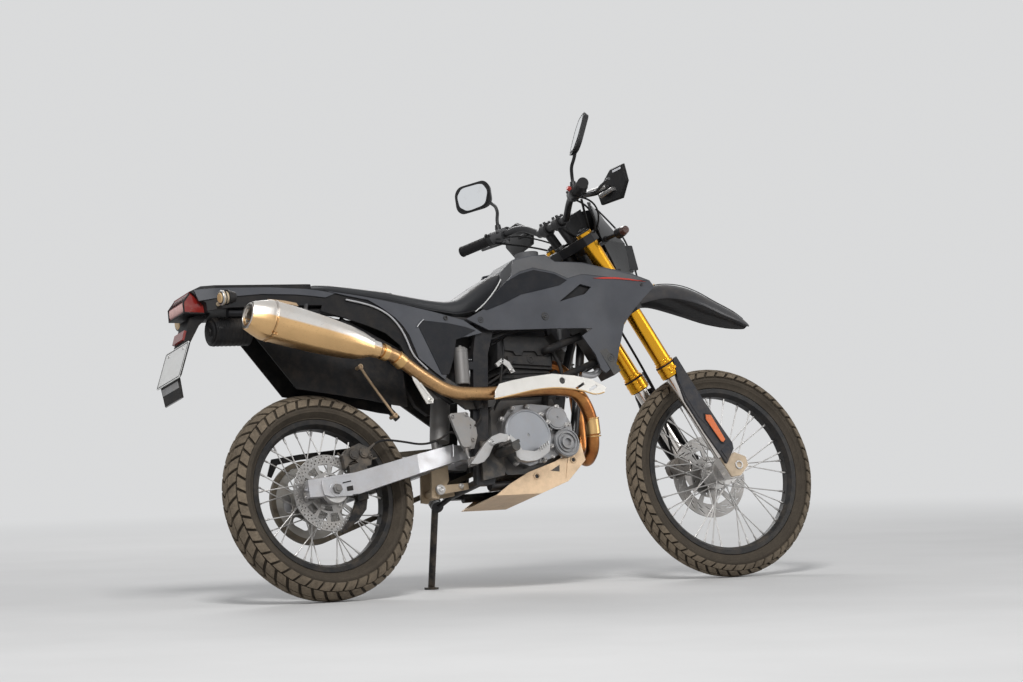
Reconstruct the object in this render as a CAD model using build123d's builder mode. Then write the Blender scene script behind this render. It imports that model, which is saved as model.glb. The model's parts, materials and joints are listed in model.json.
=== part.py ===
from build123d import *
import os
from math import asin, atan2, cos, degrees, pi, radians, sin, sqrt, tan

os.makedirs("parts", exist_ok=True)

# A 400 cc class dual sport motorcycle, parked leaning on its side stand.
# Every piece is modelled on the upright bike: X forward along it, with the swingarm's pivot
# at pivot_x, Y to the left and Z up from the ground, in millimetres. The last section parks it.

# ---- driving dimensions -------------------------------------------------------------
swingarm_length = 540.0        # from its pivot back to the rear axle
front_reach = 950.0            # from the swingarm's pivot to the front axle
trail = 109.0
rake = 27.5                    # degrees from vertical
lean = 14.0                    # degrees to the left, on the side stand
steer_turn = -2.5              # degrees the parked handlebar is turned, to the left positive

rear_radius = 324.0            # tyre 120/80-18, out to the lugs' tips
rear_half_width = 60.0
rear_crown = 62.0              # radius of the tread across the tyre
rear_section = 84.0            # height of the tyre above the rim's flange
rear_rim_half = 33.0
front_radius = 346.0           # tyre 80/100-21
front_half_width = 42.0
front_crown = 44.0
front_section = 69.0
front_rim_half = 26.0
rear_pitches = 30              # lugs round the tyre in each of its three rows
front_pitches = 32
lug_height = 9.0
lug_root = 5.0                 # how far a lug reaches into the tyre
lug_relief = 0.45                # what a flat lug's ends would stand out of the round
lug_share = 0.76               # of the pitch that a lug fills
lug_ledge = 0.6                # between the middle lugs' sides and the facets' edges
lug_slant = 5.0                # a shoulder lug's outer edge ahead of its middle
middle_lug = 14.8              # degrees across the crown, either side of its middle
shoulder_lug_start = 25.0
rim_depth = 26.0               # flange edge to the inner wall that holds the spokes
flange_lip = 9.0
flange_wall = 3.5
spoke_diameter = 3.8
spokes_per_side = 18

rear_disc = 240.0
front_disc = 270.0
disc_thickness = 4.5
axle_diameter = 20.0
front_axle_bore = 12.0         # the front axle is hollow
running_gap = 0.05             # radial play of a shaft in its hub
seat_gap = 0.3                 # between pieces that rest near each other

leg_half_spacing = 103.0       # fork legs either side of the middle
leg_ahead = 38.0               # fork legs ahead of the steering axis
outer_tube = 54.0
inner_tube = 46.0
collar = 66.0
collar_foot = 719.0            # along the steering axis from the ground
collar_height = 44.0
lower_clamp_at = 975.0
upper_clamp_at = 1237.0
clamp_height = 30.0
tube_top = 1262.0
head_tube = 58.0
stem = 30.0

pivot_x = 540.0                # swingarm pivot
pivot_z = 425.0
chain_line = 70.0
chain_half = 8.0
front_sprocket = 38.0
rear_sprocket = 124.0
front_sprocket_x = 622.0
front_sprocket_z = 440.0

handlebar_z = 1188.0
bar_behind = 488.0             # the handlebar's middle behind the front axle
handlebar = 22.2
bar_sweep = 112.0              # its ends behind its middle
bar_end_y = 410.0
bar_end_z = 1218.0
grip = 34.0
grip_length = 122.0

steering_lock = 45.0           # degrees each way

# ---- where the fork stands ----------------------------------------------------------
rake_sin = sin(radians(rake))
rake_cos = cos(radians(rake))
rear_axle = Vector(pivot_x - swingarm_length, 0, rear_radius)
front_axle = Vector(pivot_x + front_reach, 0, front_radius)
rear_flange = rear_radius - rear_section
front_flange = front_radius - front_section
steering_foot = Vector(front_axle.X + trail, 0, 0)
fork_ahead = Vector(rake_cos, 0, rake_sin)
fork_up = Vector(-rake_sin, 0, rake_cos)


def on_fork(ahead, side, along):
    """A point by its distances ahead of the steering axis, to the left and up the axis."""
    return steering_foot + fork_ahead * ahead + fork_up * along + Vector(0, side, 0)


def from_front(points):
    """The same points, given by their distances behind the front axle, as places along X."""
    return [(front_axle.X - back, *rest) for back, *rest in points]


# ---- ways to make pieces ------------------------------------------------------------
def side_plane(y):
    """An upright plane along the bike: local x is forward and local y is up."""
    return Plane(origin=(0, y, 0), x_dir=(1, 0, 0), z_dir=(0, -1, 0))


def slab(outline, right, left):
    """A side outline of (x, z) points, solid from y = right to y = left."""
    with BuildPart() as piece:
        with BuildSketch(side_plane(left)):
            with BuildLine():
                Polyline(*outline, close=True)
            make_face()
        extrude(amount=left - right)
    return piece.part


def fork_slab(outline, right, left):
    """An outline of (ahead, along) points beside the fork, solid from y = right to y = left."""
    with BuildPart() as piece:
        with BuildSketch(Plane(origin=on_fork(0, left, 0), x_dir=fork_ahead, z_dir=(0, -1, 0))):
            with BuildLine():
                Polyline(*outline, close=True)
            make_face()
        extrude(amount=left - right)
    return piece.part


def plan(outline, bottom, top):
    """A plan outline of (x, y) points, solid from z = bottom to z = top."""
    with BuildPart() as piece:
        with BuildSketch(Plane.XY.offset(bottom)):
            with BuildLine():
                Polyline(*outline, close=True)
            make_face()
        extrude(amount=top - bottom)
    return piece.part


def rod(start, end, diameter, bore=0.0):
    """A straight round bar or tube between two points."""
    start = Vector(*start)
    run = Vector(*end) - start
    with BuildPart() as piece:
        with BuildSketch(Plane(origin=start, z_dir=run)):
            Circle(diameter / 2)
            if bore > 0:
                Circle(bore / 2, mode=Mode.SUBTRACT)
        extrude(amount=run.length)
    return piece.part


def cone(start, end, start_diameter, end_diameter):
    """A straight bar that tapers evenly between two points."""
    start = Vector(*start)
    run = Vector(*end) - start
    with BuildPart() as piece:
        with BuildSketch(Plane(origin=start, z_dir=run)):
            Circle(start_diameter / 2)
        with BuildSketch(Plane(origin=start + run, z_dir=run)):
            Circle(end_diameter / 2)
        loft()
    return piece.part


def bend_radii(points, share=0.45):
    """As large an arc at each corner as its two runs leave room for."""
    radii = []
    for before, corner, after in zip(points, points[1:], points[2:]):
        first = Vector(*corner) - Vector(*before)
        second = Vector(*after) - Vector(*corner)
        half_turn = radians(first.get_angle(second) / 2)
        radii.append(share * min(first.length, second.length) / tan(half_turn))
    return radii


def bent(points, diameter, share=0.45):
    """A round tube along straight runs joined by tangent arcs."""
    with BuildPart() as piece:
        with BuildLine() as route:
            FilletPolyline(*points, radius=bend_radii(points, share))
        with BuildSketch(Plane(origin=route.line @ 0, z_dir=route.line % 0)):
            Circle(diameter / 2)
        sweep(path=route.line)
    return piece.part


def turned(profile, centre):
    """A profile of (y, radius) points turned about a wheel's axle."""
    with BuildPart() as piece:
        with BuildSketch(Plane(origin=centre, x_dir=(0, 1, 0), z_dir=(1, 0, 0))):
            with BuildLine():
                Polyline(*profile, close=True)
            make_face()
        revolve(axis=Axis(centre, (0, 1, 0)))
    return piece.part


def joined(*pieces):
    """One node made from several pieces of the same body."""
    with BuildPart() as node:
        for piece in pieces:
            add(piece)
    return node


def both(*pieces):
    """One node made from pieces and their mirror images."""
    with BuildPart() as node:
        for piece in pieces:
            add(piece)
        mirror(about=Plane.XZ)
    return node


# ---- how the bike stands ------------------------------------------------------------
steering_plane = Plane(origin=steering_foot, z_dir=fork_up)
turned_bar = steering_plane.location * Rotation(0, 0, steer_turn) * steering_plane.location.inverse()
leaned = Rotation(-lean, 0, 0)


def lowest(place, centre, radius, crown):
    """How low a tyre's crown reaches once the bike is moved to a place."""
    hub = (place * Pos(*centre)).position
    axle_tip = (place * Pos(*(centre + Vector(0, 1, 0)))).position
    slope = axle_tip.Z - hub.Z
    return hub.Z - (radius - crown) * sqrt(1 - slope * slope) - crown


rear_low = lowest(leaned, rear_axle, rear_radius, rear_crown)
front_low = lowest(leaned * turned_bar, front_axle, front_radius, front_crown)
nose_down = degrees(asin((front_low - rear_low) / (front_axle.X - rear_axle.X)))
tipped = Rotation(0, nose_down, 0) * leaned
parked = Pos(0, 0, -lowest(tipped, rear_axle, rear_radius, rear_crown)) * tipped
floor_plane = Plane(parked.inverse())

stand_pivot = Vector(484, 131, 316)
stand_foot = (524, 311)        # where its foot stands on the floor, ahead of and left of the rear axle
stand_leg = 22.0
stand_pad = 46.0
stand_pad_height = 7.0
foot_point = (parked.inverse() * Pos(*stand_foot, stand_pad_height)).position
stowed_direction = Vector(-0.975, 0.12, 0.185)
down_direction = (foot_point - stand_pivot).normalized()
stand_axis = down_direction.cross(stowed_direction).normalized()
stand_sweep = down_direction.get_angle(stowed_direction)

# ---- wheels -------------------------------------------------------------------------
def facet_ring(profile, centre, facets):
    """A closed profile of (y, radius) points turned about an axle in flat facets."""
    half_step = pi / facets
    faces = []
    for number in range(facets):
        turns = ((2 * number - 1) * half_step, (2 * number + 1) * half_step)
        for first, second in zip(profile, profile[1:] + profile[:1]):
            corners = [(first, turns[0]), (first, turns[1]), (second, turns[1]), (second, turns[0])]
            faces.append(Face(Wire.make_polygon(
                [centre + Vector(r * tan(half_step) * sin(turn) / sin(half_step), y,
                                 r * cos(turn) / cos(half_step)) for (y, r), turn in corners])))
    return Solid(Shell(faces))


def make_tyre(centre, radius, half_width, crown, flange, rim_half, pitches):
    """A tyre in flat facets, one a pitch, with a middle row of lugs and a staggered row each side."""
    bead = rim_half - flange_wall - seat_gap
    crown_centre = centre + Vector(0, 0, radius - crown)
    base = crown - lug_height
    edge = degrees(asin(half_width / crown))
    lug_side = crown * sin(radians(middle_lug))
    lug_shoulder = crown * cos(radians(middle_lug))
    middle_facet = degrees(asin((lug_side + lug_ledge) / base))
    carcass = [(base * sin(radians(turn)), radius - crown + base * cos(radians(turn)))
               for turn in (-edge, -middle_facet, middle_facet, edge)]
    ring = facet_ring(carcass + [(bead, flange + 2), (bead, flange - flange_lip + seat_gap),
                                 (-bead, flange - flange_lip + seat_gap), (-bead, flange + 2)],
                      centre, pitches)
    half_length = pi * radius / pitches * lug_share
    with BuildPart() as centre_lug:
        with BuildSketch(Plane(origin=crown_centre - Vector(half_length, 0, 0), x_dir=(0, 1, 0),
                               z_dir=(1, 0, 0))):
            with BuildLine():
                Polyline((-lug_side, lug_shoulder - lug_relief), (0, crown - lug_relief), (lug_side, lug_shoulder - lug_relief),
                         (lug_side, lug_shoulder - lug_height - lug_root),
                         (-lug_side, lug_shoulder - lug_height - lug_root), close=True)
            make_face()
        extrude(amount=2 * half_length)
    half_turn = radians(edge - shoulder_lug_start) / 2
    across = radians(shoulder_lug_start) + half_turn
    half_across = crown * sin(half_turn)
    outward = Vector(0, sin(across), cos(across))
    with BuildPart() as left_lug:
        with BuildSketch(Plane(origin=crown_centre + outward * crown * cos(half_turn), x_dir=(1, 0, 0),
                               z_dir=outward)):
            with BuildLine():
                Polyline((lug_slant - half_length, half_across), (lug_slant + half_length, half_across),
                         (half_length - lug_slant, -half_across), (-half_length - lug_slant, -half_across),
                         close=True)
            make_face()
        extrude(amount=-lug_height - lug_root)
    with BuildPart() as pitch_of_lugs:
        add(left_lug.part.rotate(Axis(centre, (0, 1, 0)), 180 / pitches))
        mirror(about=Plane.XZ)
        add(centre_lug.part)
    with BuildPart() as tyre:
        add(ring)
        add([pitch_of_lugs.part.rotate(Axis(centre, (0, 1, 0)), 360 * number / pitches)
             for number in range(pitches)], clean=False)
    return tyre


def make_rim(centre, flange, rim_half):
    """A rim channel with a lip at each side."""
    seat = flange - flange_lip
    inner = flange - rim_depth
    wall = rim_half - flange_wall
    half = [(wall, flange), (rim_half, flange), (rim_half, seat - 6), (rim_half / 2, inner)]
    other = [(-y, r) for y, r in reversed(half)]
    return joined(turned([(wall, seat)] + half + other + [(-wall, seat)], centre))


def make_hub(centre, flange, spoke_y, flange_radius, right_end, left_end, boss):
    """A hub with its two flanges, its end bosses and its crossed spokes, bored for the axle."""
    rim_inner = flange - rim_depth - seat_gap - 0.7
    parts = [rod(centre + Vector(0, right_end, 0), centre + Vector(0, left_end, 0), boss)]
    for side in (-1, 1):
        parts.append(rod(centre + Vector(0, side * (spoke_y - 5), 0),
                         centre + Vector(0, side * (spoke_y + 5), 0), 2 * flange_radius))
    pitch = 360 / spokes_per_side
    for side in (-1, 1):
        for number in range(spokes_per_side):
            at_hub = radians(pitch * (number + 0.25 * side))
            lead = 1 if number % 2 else -1
            at_rim = at_hub + radians(lead * 38)
            hub_r = flange_radius - 5
            start = centre + Vector(hub_r * cos(at_hub), side * (spoke_y + 2.2 * lead),
                                    hub_r * sin(at_hub))
            end = centre + Vector(rim_inner * cos(at_rim), side * 6, rim_inner * sin(at_rim))
            parts.append(rod(start, end, spoke_diameter))
    with BuildPart() as hub:
        for piece in parts:
            add(piece)
        with Locations(Plane(origin=centre, z_dir=(0, 1, 0))):
            Hole(axle_diameter / 2 + running_gap)
    return hub


def make_disc(centre, diameter, side_at, hub_radius):
    """A brake disc with a ring of slots through its swept band."""
    middle = (diameter / 2 + hub_radius) / 2
    with BuildPart() as disc:
        with BuildSketch(side_plane(side_at + disc_thickness / 2)):
            with Locations((centre.X, centre.Z)):
                Circle(diameter / 2)
                Circle(hub_radius, mode=Mode.SUBTRACT)
                with PolarLocations(middle - 6, 6):
                    SlotOverall(46, 24, rotation=90, mode=Mode.SUBTRACT)
        extrude(amount=disc_thickness)
    return disc


rear_tyre = make_tyre(rear_axle, rear_radius, rear_half_width, rear_crown, rear_flange, rear_rim_half,
                      rear_pitches)
front_tyre = make_tyre(front_axle, front_radius, front_half_width, front_crown, front_flange,
                       front_rim_half, front_pitches)
rear_rim = make_rim(rear_axle, rear_flange, rear_rim_half)
front_rim = make_rim(front_axle, front_flange, front_rim_half)
rear_disc_y = -66.0
front_disc_y = 68.0
sprocket_y = chain_line
rear_hub = make_hub(rear_axle, rear_flange, 34, 62, rear_disc_y + disc_thickness / 2,
                    sprocket_y - 3, 76)
front_hub = make_hub(front_axle, front_flange, 32, 48, -54, front_disc_y - disc_thickness / 2, 60)
rear_brake_disc = make_disc(rear_axle, rear_disc, rear_disc_y, 34)
front_brake_disc = make_disc(front_axle, front_disc, front_disc_y, 27)
sprocket_outer = rear_sprocket - chain_half - 0.8
with BuildPart() as rear_sprocket_ring:
    with BuildSketch(side_plane(sprocket_y + 3)):
        with Locations((rear_axle.X, rear_axle.Z)):
            Circle(sprocket_outer)
            Circle(30, mode=Mode.SUBTRACT)
            with PolarLocations(74, 6):
                SlotOverall(58, 30, rotation=90, mode=Mode.SUBTRACT)
    extrude(amount=6)

# ---- frame --------------------------------------------------------------------------
frame_inner = 88.0             # the cast uprights, either side of the middle
frame_outer = 110.0
stand_hub_half = 12.0
stand_hub = 40.0
spar_points = [on_fork(-21.5, 22, 1121.6), (960, 78, 935), (800, 88, 870), (610, 88, 818)]
upright_outline = [(590, 838), (650, 822), (614, 740), (590, 600), (570, 480), (590, 400),
                   (566, 318), (500, 318), (512, 400), (512, 470), (538, 600), (560, 740)]
cradle_points = [on_fork(-43.9, 0, 1065.7), on_fork(-221.4, 50, 904.4), (908, 56, 440), (845, 62, 358),
                 (790, 66, 325), (560, 86, 318)]
reservoir_top = Vector(514, -112, 755)
reservoir_foot = Vector(504, -112, 640)
reservoir_radius = 23.0


def reservoir_edge(z):
    """Where the shock's reservoir ends, at a height, with its seat gap."""
    share = (z - reservoir_foot.Z) / (reservoir_top.Z - reservoir_foot.Z)
    middle = reservoir_foot.X + share * (reservoir_top.X - reservoir_foot.X)
    return (middle + reservoir_radius + seat_gap, z)


shock_top = Vector(498.5, 0, 714)
shock_bar = Vector(501, 0, 714 + 13 + seat_gap)
head_bottom = on_fork(0, 0, lower_clamp_at + clamp_height / 2 + 4)
head_top = on_fork(0, 0, upper_clamp_at - clamp_height / 2 - 4)
head = rod(head_bottom, head_top, head_tube)
stem_bore = rod(head_bottom, head_top, stem + 2 * running_gap)
left_spar = bent(spar_points, 44, 0.3)
left_upright = slab(upright_outline, frame_inner, frame_outer)
left_cradle = bent(cradle_points, 28, 0.3)
radiator_back = -190.0         # ahead of the steering axis
radiator_low = 830.0           # along it
radiator_high = 1040.0
radiator_depth = 30.0
radiator_front = radiator_back + radiator_depth
slat_reach = 12.0
radiator_inner = 67.0
shroud_inner = 151.0
radiator_lug_gap = seat_gap + 2.2     # the lugs meet the radiator at a slant
radiator_lower_lug = rod((978, 52, 676.5), on_fork(radiator_back - radiator_lug_gap, 76, 885), 10)
radiator_upper_lug = rod((962, 80, 925), on_fork(radiator_back + 15, 80, radiator_high + radiator_lug_gap), 10)
stand_hub_face = stand_pivot - stand_axis * (stand_hub_half + seat_gap)
with BuildPart() as main_frame:
    add(head)
    add(left_spar)
    add(left_upright)
    add(left_cradle)
    add(radiator_lower_lug)
    add(radiator_upper_lug)
    add(rod(shock_bar + Vector(0, 60, 0), (575, 100, 722), 18))
    add(slab([(857, 424), (902, 432), (902, 458), (857, 468)], 44, 50))
    mirror(about=Plane.XZ)
    add(rod(shock_bar - Vector(0, 66, 0), shock_bar + Vector(0, 66, 0), 26))
    add(rod((pivot_x - 20, -90, 330), (pivot_x - 20, 90, 330), 26))
    add(rod((790, -66, 325), (790, 66, 325), 22))
    add(slab([reservoir_edge(690), (560, 690), (560, 715), reservoir_edge(715)], -frame_outer, -96))
    add(rod(stand_hub_face, stand_hub_face - stand_axis * 16, 38))
    add(rod(stand_hub_face - stand_axis * 15, (pivot_x - 20, 88, 327), 18))
    add(stem_bore, mode=Mode.SUBTRACT)

rail = 26.0
rail_points = [(592, 84, 850.7), (330, 92, 868), (60, 88, 893), (-260, 66, 897)]
brace_points = [(531.7, 84, 594.9), (330, 92, 740), (110, 92, 862)]
with BuildPart() as subframe:
    add(bent(rail_points, rail, 0.3))
    add(bent(brace_points, 22, 0.3))
    mirror(about=Plane.XZ)
    add(rod((-60, 0, 896), (-60, 78, 896), 18))
    add(rod((-60, -78, 896), (-60, 0, 896), 18))

# ---- engine -------------------------------------------------------------------------
case_outline = [(602, 390), (634, 352), (800, 352), (846, 410), (856, 480), (852, 560),
                (840, 592), (650, 592), (606, 560), (598, 470)]
case_left = 58.0
crankcase = joined(slab(case_outline, -84, case_left),
                   rod((628, -52, 606), (628, 42, 606), 52),
                   rod((front_sprocket_x, case_left, front_sprocket_z),
                       (front_sprocket_x, chain_line + 4, front_sprocket_z),
                       2 * (front_sprocket - chain_half - 0.8)))
barrel_outline = [(656, 592.5), (836, 592.5), (852, 690), (672, 704)]
head_outline = [(662, 704.5), (862, 690.5), (878, 768), (852, 800), (716, 806), (676, 784)]
cylinder_head = joined(slab(barrel_outline, -68, 68), slab(head_outline, -78, 78))
clutch_centre = (695, 465)
pump_centre = (812, 518)
filter_centre = (838, 438)
right_cover_outline = [(622, 430), (660, 384), (700, 370), (800, 398), (856, 422), (876, 456),
                       (876, 500), (850, 556), (780, 566), (740, 570), (660, 566), (622, 520)]
sprocket_cover_outline = [(598, 404), (618, 388), (664, 398), (682, 440), (676, 522), (632, 522), (598, 480)]
left_cover_outline = [(686, 420), (730, 380), (800, 398), (850, 430), (856, 470), (842, 540),
                      (780, 566), (690, 540)]


def round_cover(centre, radius, right, left):
    """A round engine cover on a side of the crankcase."""
    return rod((centre[0], right, centre[1]), (centre[0], left, centre[1]), 2 * radius)


engine_covers = joined(slab(right_cover_outline, -118, -84.5), round_cover(clutch_centre, 84, -142, -118),
                       round_cover(pump_centre, 38, -140, -118), round_cover(filter_centre, 46, -136, -118),
                       slab(left_cover_outline, case_left + 0.5, 104),
                       round_cover((776, 474), 72, 104, 126),
                       slab(sprocket_cover_outline, 84, 100), rod((656, case_left + 0.5, 512), (656, 84, 512), 16))
throttle_body = joined(rod((668, 0, 742), (576, 0, 758), 54),
                       slab([(420, 762), (576, 732), (576, 806), (420, 836)], -68, 68))

# ---- cooling ------------------------------------------------------------------------
radiator_outer = shroud_inner - seat_gap
slats = [fork_slab([(radiator_front - 1, along), (radiator_front + slat_reach, along - 9),
                    (radiator_front + slat_reach, along - 5), (radiator_front - 1, along + 4)],
                   radiator_inner + 3, radiator_outer - 12)
         for along in range(int(radiator_low) + 22, int(radiator_high) - 8, 23)]
radiators = both(*slats, fork_slab([(radiator_back, radiator_low), (radiator_front, radiator_low),
                                    (radiator_front, radiator_high), (radiator_back, radiator_high)],
                                   radiator_inner, radiator_outer))
upper_hose = [(838, -78.8, 748), (838, -106, 748), (890, -106, 765), (970, -104, 790.8)]
lower_hose = [(799, -100, 564.9), (811, -100, 612), (880, -100, 660), (1015, -102, 705)]
coolant_hoses = joined(bent(upper_hose, 24), bent(lower_hose, 22))

# ---- exhaust ------------------------------------------------------------------------
header_points = [(870.3, 0, 729), (935, 0, 715.6), (985, 0, 660), (984, 2, 520), (972, -2, 420),
                 (958, -50, 392), (950, -108, 420), (948, -130, 520), (900, -148, 603),
                 (780, -150, 612), (560, -150, 600), (430, -150, 606), (330, -160, 662),
                 (235, -182, 722), (176, -191, 739)]
exhaust_pipe = joined(bent(header_points, 42))
can_front = Vector(150, -192, 746)
can_rear = Vector(-262, -195, 856)
can_axis = (can_rear - can_front).normalized()
can_diameter = 118.0
with BuildPart() as silencer:
    add(cone(can_front, can_front + can_axis * 60, 80, can_diameter))
    add(rod(can_front + can_axis * 60, can_rear - can_axis * 70, can_diameter))
    add(cone(can_rear - can_axis * 70, can_rear, can_diameter, 78))
    add(rod(can_front - can_axis * 24, can_front, 52, 42.4))
    add(rod(can_rear - can_axis * 60, can_rear, 48), mode=Mode.SUBTRACT)
shield_outline = [(588, 590), (600, 628), (700, 646), (830, 652), (930, 634), (984, 604),
                  (972, 588), (900, 596), (800, 612), (700, 604)]
pipe_outer = -150 - 21         # the pipe's outer side where the shield stands off it
heat_shield = joined(slab(shield_outline, -184, -178),
                     rod((620, -178, 603), (620, pipe_outer - seat_gap, 603), 12),
                     rod((800, -178, 612), (800, pipe_outer - seat_gap, 612), 12))

# ---- tank and bodywork --------------------------------------------------------------
tank_back = [(742, 1022), (716, 960), (694, 905)]     # where the seat meets it
tank_outline = [(905, 900), (930, 985), (985, 1000), (978, 1018), (925, 1058), (860, 1074),
                (790, 1060), *tank_back]
fuel_tank = joined(slab(tank_outline, -58.8, 58.8), rod((884, 0, 1074), (884, 0, 1096), 78))
seat_outline = [(22, 974), (300, 950), (490, 926), (560, 935), (640, 980), (700, 1012),
                *((x - seat_gap, z) for x, z in tank_back), (610, 884), (540, 872), (430, 884),
                (300, 912), (100, 950), (26, 962)]
seat_plan = [(15, -70), (15, 70), (80, 108), (330, 118), (480, 100), (620, 74), (745, 66),
             (745, -66), (620, -74), (480, -100), (330, -118), (80, -108)]
with BuildPart() as seat:
    add(slab(seat_outline, -140, 140))
    add(plan(seat_plan, 800, 1100), mode=Mode.INTERSECT)

shroud_outline = ([(545, 850), (620, 884), (742, 992), (768, 1050), (880, 1062), (905, 1034)]
                  + from_front([(490, 1026), (380, 996), (270, 953), (257, 931), (338, 861), (380, 816),
                                (409, 737), (428, 686), (472, 657), (486, 668), (502, 720)])
                  + [(948, 780), (990, 804), (620, 812)])
shroud_thickness = 6.0
shroud_curve = ([(540, 122), (700, 126), (850, 142)]
                + from_front([(546, shroud_inner), (430, shroud_inner), (246, shroud_inner + 27)]))
shroud_strip = shroud_curve + [(x, y + shroud_thickness) for x, y in reversed(shroud_curve)]
with BuildPart() as shroud_left:
    add(slab(shroud_outline, 100, 180))
    add(plan(shroud_strip, 600, 1100), mode=Mode.INTERSECT)
    add(slab([(912, 896), (948, 884), (996, 930), (960, 946)], 100, 180), mode=Mode.SUBTRACT)
shrouds = both(shroud_left.part)
side_cover_outline = [(60, 952), (300, 906), (430, 876), (538, 848), (600, 806), (500, 788),
                      (436, 655), (402, 682), (352, 726), (330, 800), (290, 858), (205, 918)]
side_cover_curve = [(50, 112), (330, 124), (600, 116)]
side_strip = side_cover_curve + [(x, y + 5) for x, y in reversed(side_cover_curve)]
with BuildPart() as side_cover_left:
    add(slab(side_cover_outline, 100, 150))
    add(plan(side_strip, 600, 1000), mode=Mode.INTERSECT)
side_covers = both(side_cover_left.part, rod((300, 104.5, 870.8), (300, 124, 870.8), 14))

tail_outline = [(-372, 972), (-340, 984), (16, 974), (16, 958), (100, 942), (60, 906.5),
                (-260, 910.5), (-330, 905), (-330, 930)]
tail_plan = [(-372, -58), (-372, 58), (-300, 84), (0, 112), (100, 112), (100, -112), (0, -112),
             (-300, -84)]
with BuildPart() as tail:
    add(slab(tail_outline, -120, 120))
    add(plan(tail_plan, 800, 1100), mode=Mode.INTERSECT)
plate_arm = slab([(-330, 905), (-372, 895), (-406.8, 812), (-457.5, 698), (-449, 694), (-394, 800),
                  (-345, 870), (-300, 905)], -34, 34)
mud_flap = slab([(-455.5, 702), (-449, 640), (-443, 640), (-446, 712)], -60, 60)
rear_fender = joined(tail.part, plate_arm, mud_flap)
lamp_outline = [(-373, 968), (-396, 940), (-398, 905.5), (-330.5, 905.5), (-330.5, 929.5), (-373, 972)]
plate_plane = Plane(origin=(-433, 0, 754), x_dir=(0, 1, 0), z_dir=(-cos(radians(24)), 0, sin(radians(24))))
with BuildPart() as number_plate:
    with BuildSketch(plate_plane):
        RectangleRounded(166, 124, 8)
    extrude(amount=2)
reflector_plane = Plane(origin=(-396.4, 0, 838), x_dir=(0, 1, 0), z_dir=(-0.922, 0, 0.387))
with BuildPart() as rear_reflector:
    with BuildSketch(reflector_plane):
        Rectangle(70, 32)
    extrude(amount=8)
rear_lamps = joined(slab(lamp_outline, -52, 52), rear_reflector.part)
stalk = rod((-297, 85.2, 922), (-297, 140, 924), 14)
lens = cone((-276, 152, 926), (-316, 152, 924), 26, 46)
rear_indicators = both(stalk, lens)
canister = joined(rod((-312, -42, 846), (-190, -42, 846), 86))
inner_outline = [(-130, 887 - seat_gap), (-170, 880), (-186, 850), (-50, 658), (190, 618), (280, 598), (330, 590),
                 (336, 850), (60, 887 - seat_gap)]
inner_fender = both(slab(inner_outline, 48.5, 52))

# ---- rear suspension and brake ------------------------------------------------------
arm_end = rear_axle.X - 93
arm_side = [(arm_end, 303), (arm_end, 357), (rear_axle.X + 77, 375), (443, 455), (570, 450), (584, 425),
            (570, 400), (478, 408), (rear_axle.X + 77, 307)]
arm_plan = [(arm_end, 92), (arm_end, 116), (300, 116), (470, 84), (592, 84), (592, 58), (470, 50),
            (440, 0), (360, 0), (350, 66), (300, 92)]
with BuildPart() as swingarm:
    add(slab(arm_side, -130, 130))
    with BuildPart(mode=Mode.INTERSECT):
        add(plan(arm_plan, 200, 600))
        mirror(about=Plane.XZ)
    add(rod(rear_axle + Vector(0, -128, 0), rear_axle + Vector(0, 128, 0), axle_diameter))
    add(rod((pivot_x, -87.7, pivot_z), (pivot_x, 87.7, pivot_z), 24))
shock_absorber = joined(rod(shock_top, (455, 0, 484), 62), rod((438, 0, 495), (438, 0, 455.3), 24),
                        rod(reservoir_top, reservoir_foot, 2 * reservoir_radius))
arm_inner = 92.0               # the swingarm's inner side beside the wheel


def at_rear_axle(points):
    """(x, z) points given by their distances ahead of the rear axle."""
    return [(rear_axle.X + ahead, z) for ahead, z in points]


caliper_outline = at_rear_axle([(60, 378), (52, 440), (120, 474), (160, 440), (150, 398)])
rear_caliper = joined(slab(caliper_outline, -86, -69.5), slab(caliper_outline, -62, -48),
                      slab(at_rear_axle([(118, 440), (120, 474), (160, 440), (150, 412)]), -86, -48),
                      slab(at_rear_axle([(70, 345), (130, 352), (130, 410), (70, 400)]),
                           seat_gap - arm_inner, -80))

sprocket_run = Vector(front_sprocket_x - rear_axle.X, 0, front_sprocket_z - rear_axle.Z)
tangent_turn = asin((rear_sprocket - front_sprocket) / sprocket_run.length)
run_turn = radians(Vector(1, 0, 0).get_angle(sprocket_run))
plate_length = 26.0
plate_height = 15.0
plate_pitch = 47.6             # three links of the chain
with BuildPart() as chain:
    with BuildSketch(side_plane(sprocket_y + 8)):
        with Locations((rear_axle.X, rear_axle.Z)):
            Circle(rear_sprocket + chain_half)
        with Locations((front_sprocket_x, front_sprocket_z)):
            Circle(front_sprocket + chain_half)
        make_hull()
    extrude(amount=16)
    with BuildSketch(side_plane(sprocket_y + 8)):
        with Locations((rear_axle.X, rear_axle.Z)):
            Circle(rear_sprocket - chain_half)
        with Locations((front_sprocket_x, front_sprocket_z)):
            Circle(front_sprocket - chain_half)
        make_hull()
    extrude(amount=16, mode=Mode.SUBTRACT)
    with BuildSketch(side_plane(sprocket_y + 10)):
        for side in (-1, 1):
            square = Vector(cos(run_turn + side * (pi / 2 - tangent_turn)), 0,
                            sin(run_turn + side * (pi / 2 - tangent_turn)))
            start = rear_axle + square * rear_sprocket
            along = Vector(front_sprocket_x, 0, front_sprocket_z) + square * front_sprocket - start
            for number in range(1, int(along.length / plate_pitch) + 1):
                spot = start + along.normalized() * (number * plate_pitch - 20)
                with Locations(Location((spot.X, spot.Z), degrees(atan2(along.Z, along.X)))):
                    Rectangle(plate_length, plate_height)
    extrude(amount=20)

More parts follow.
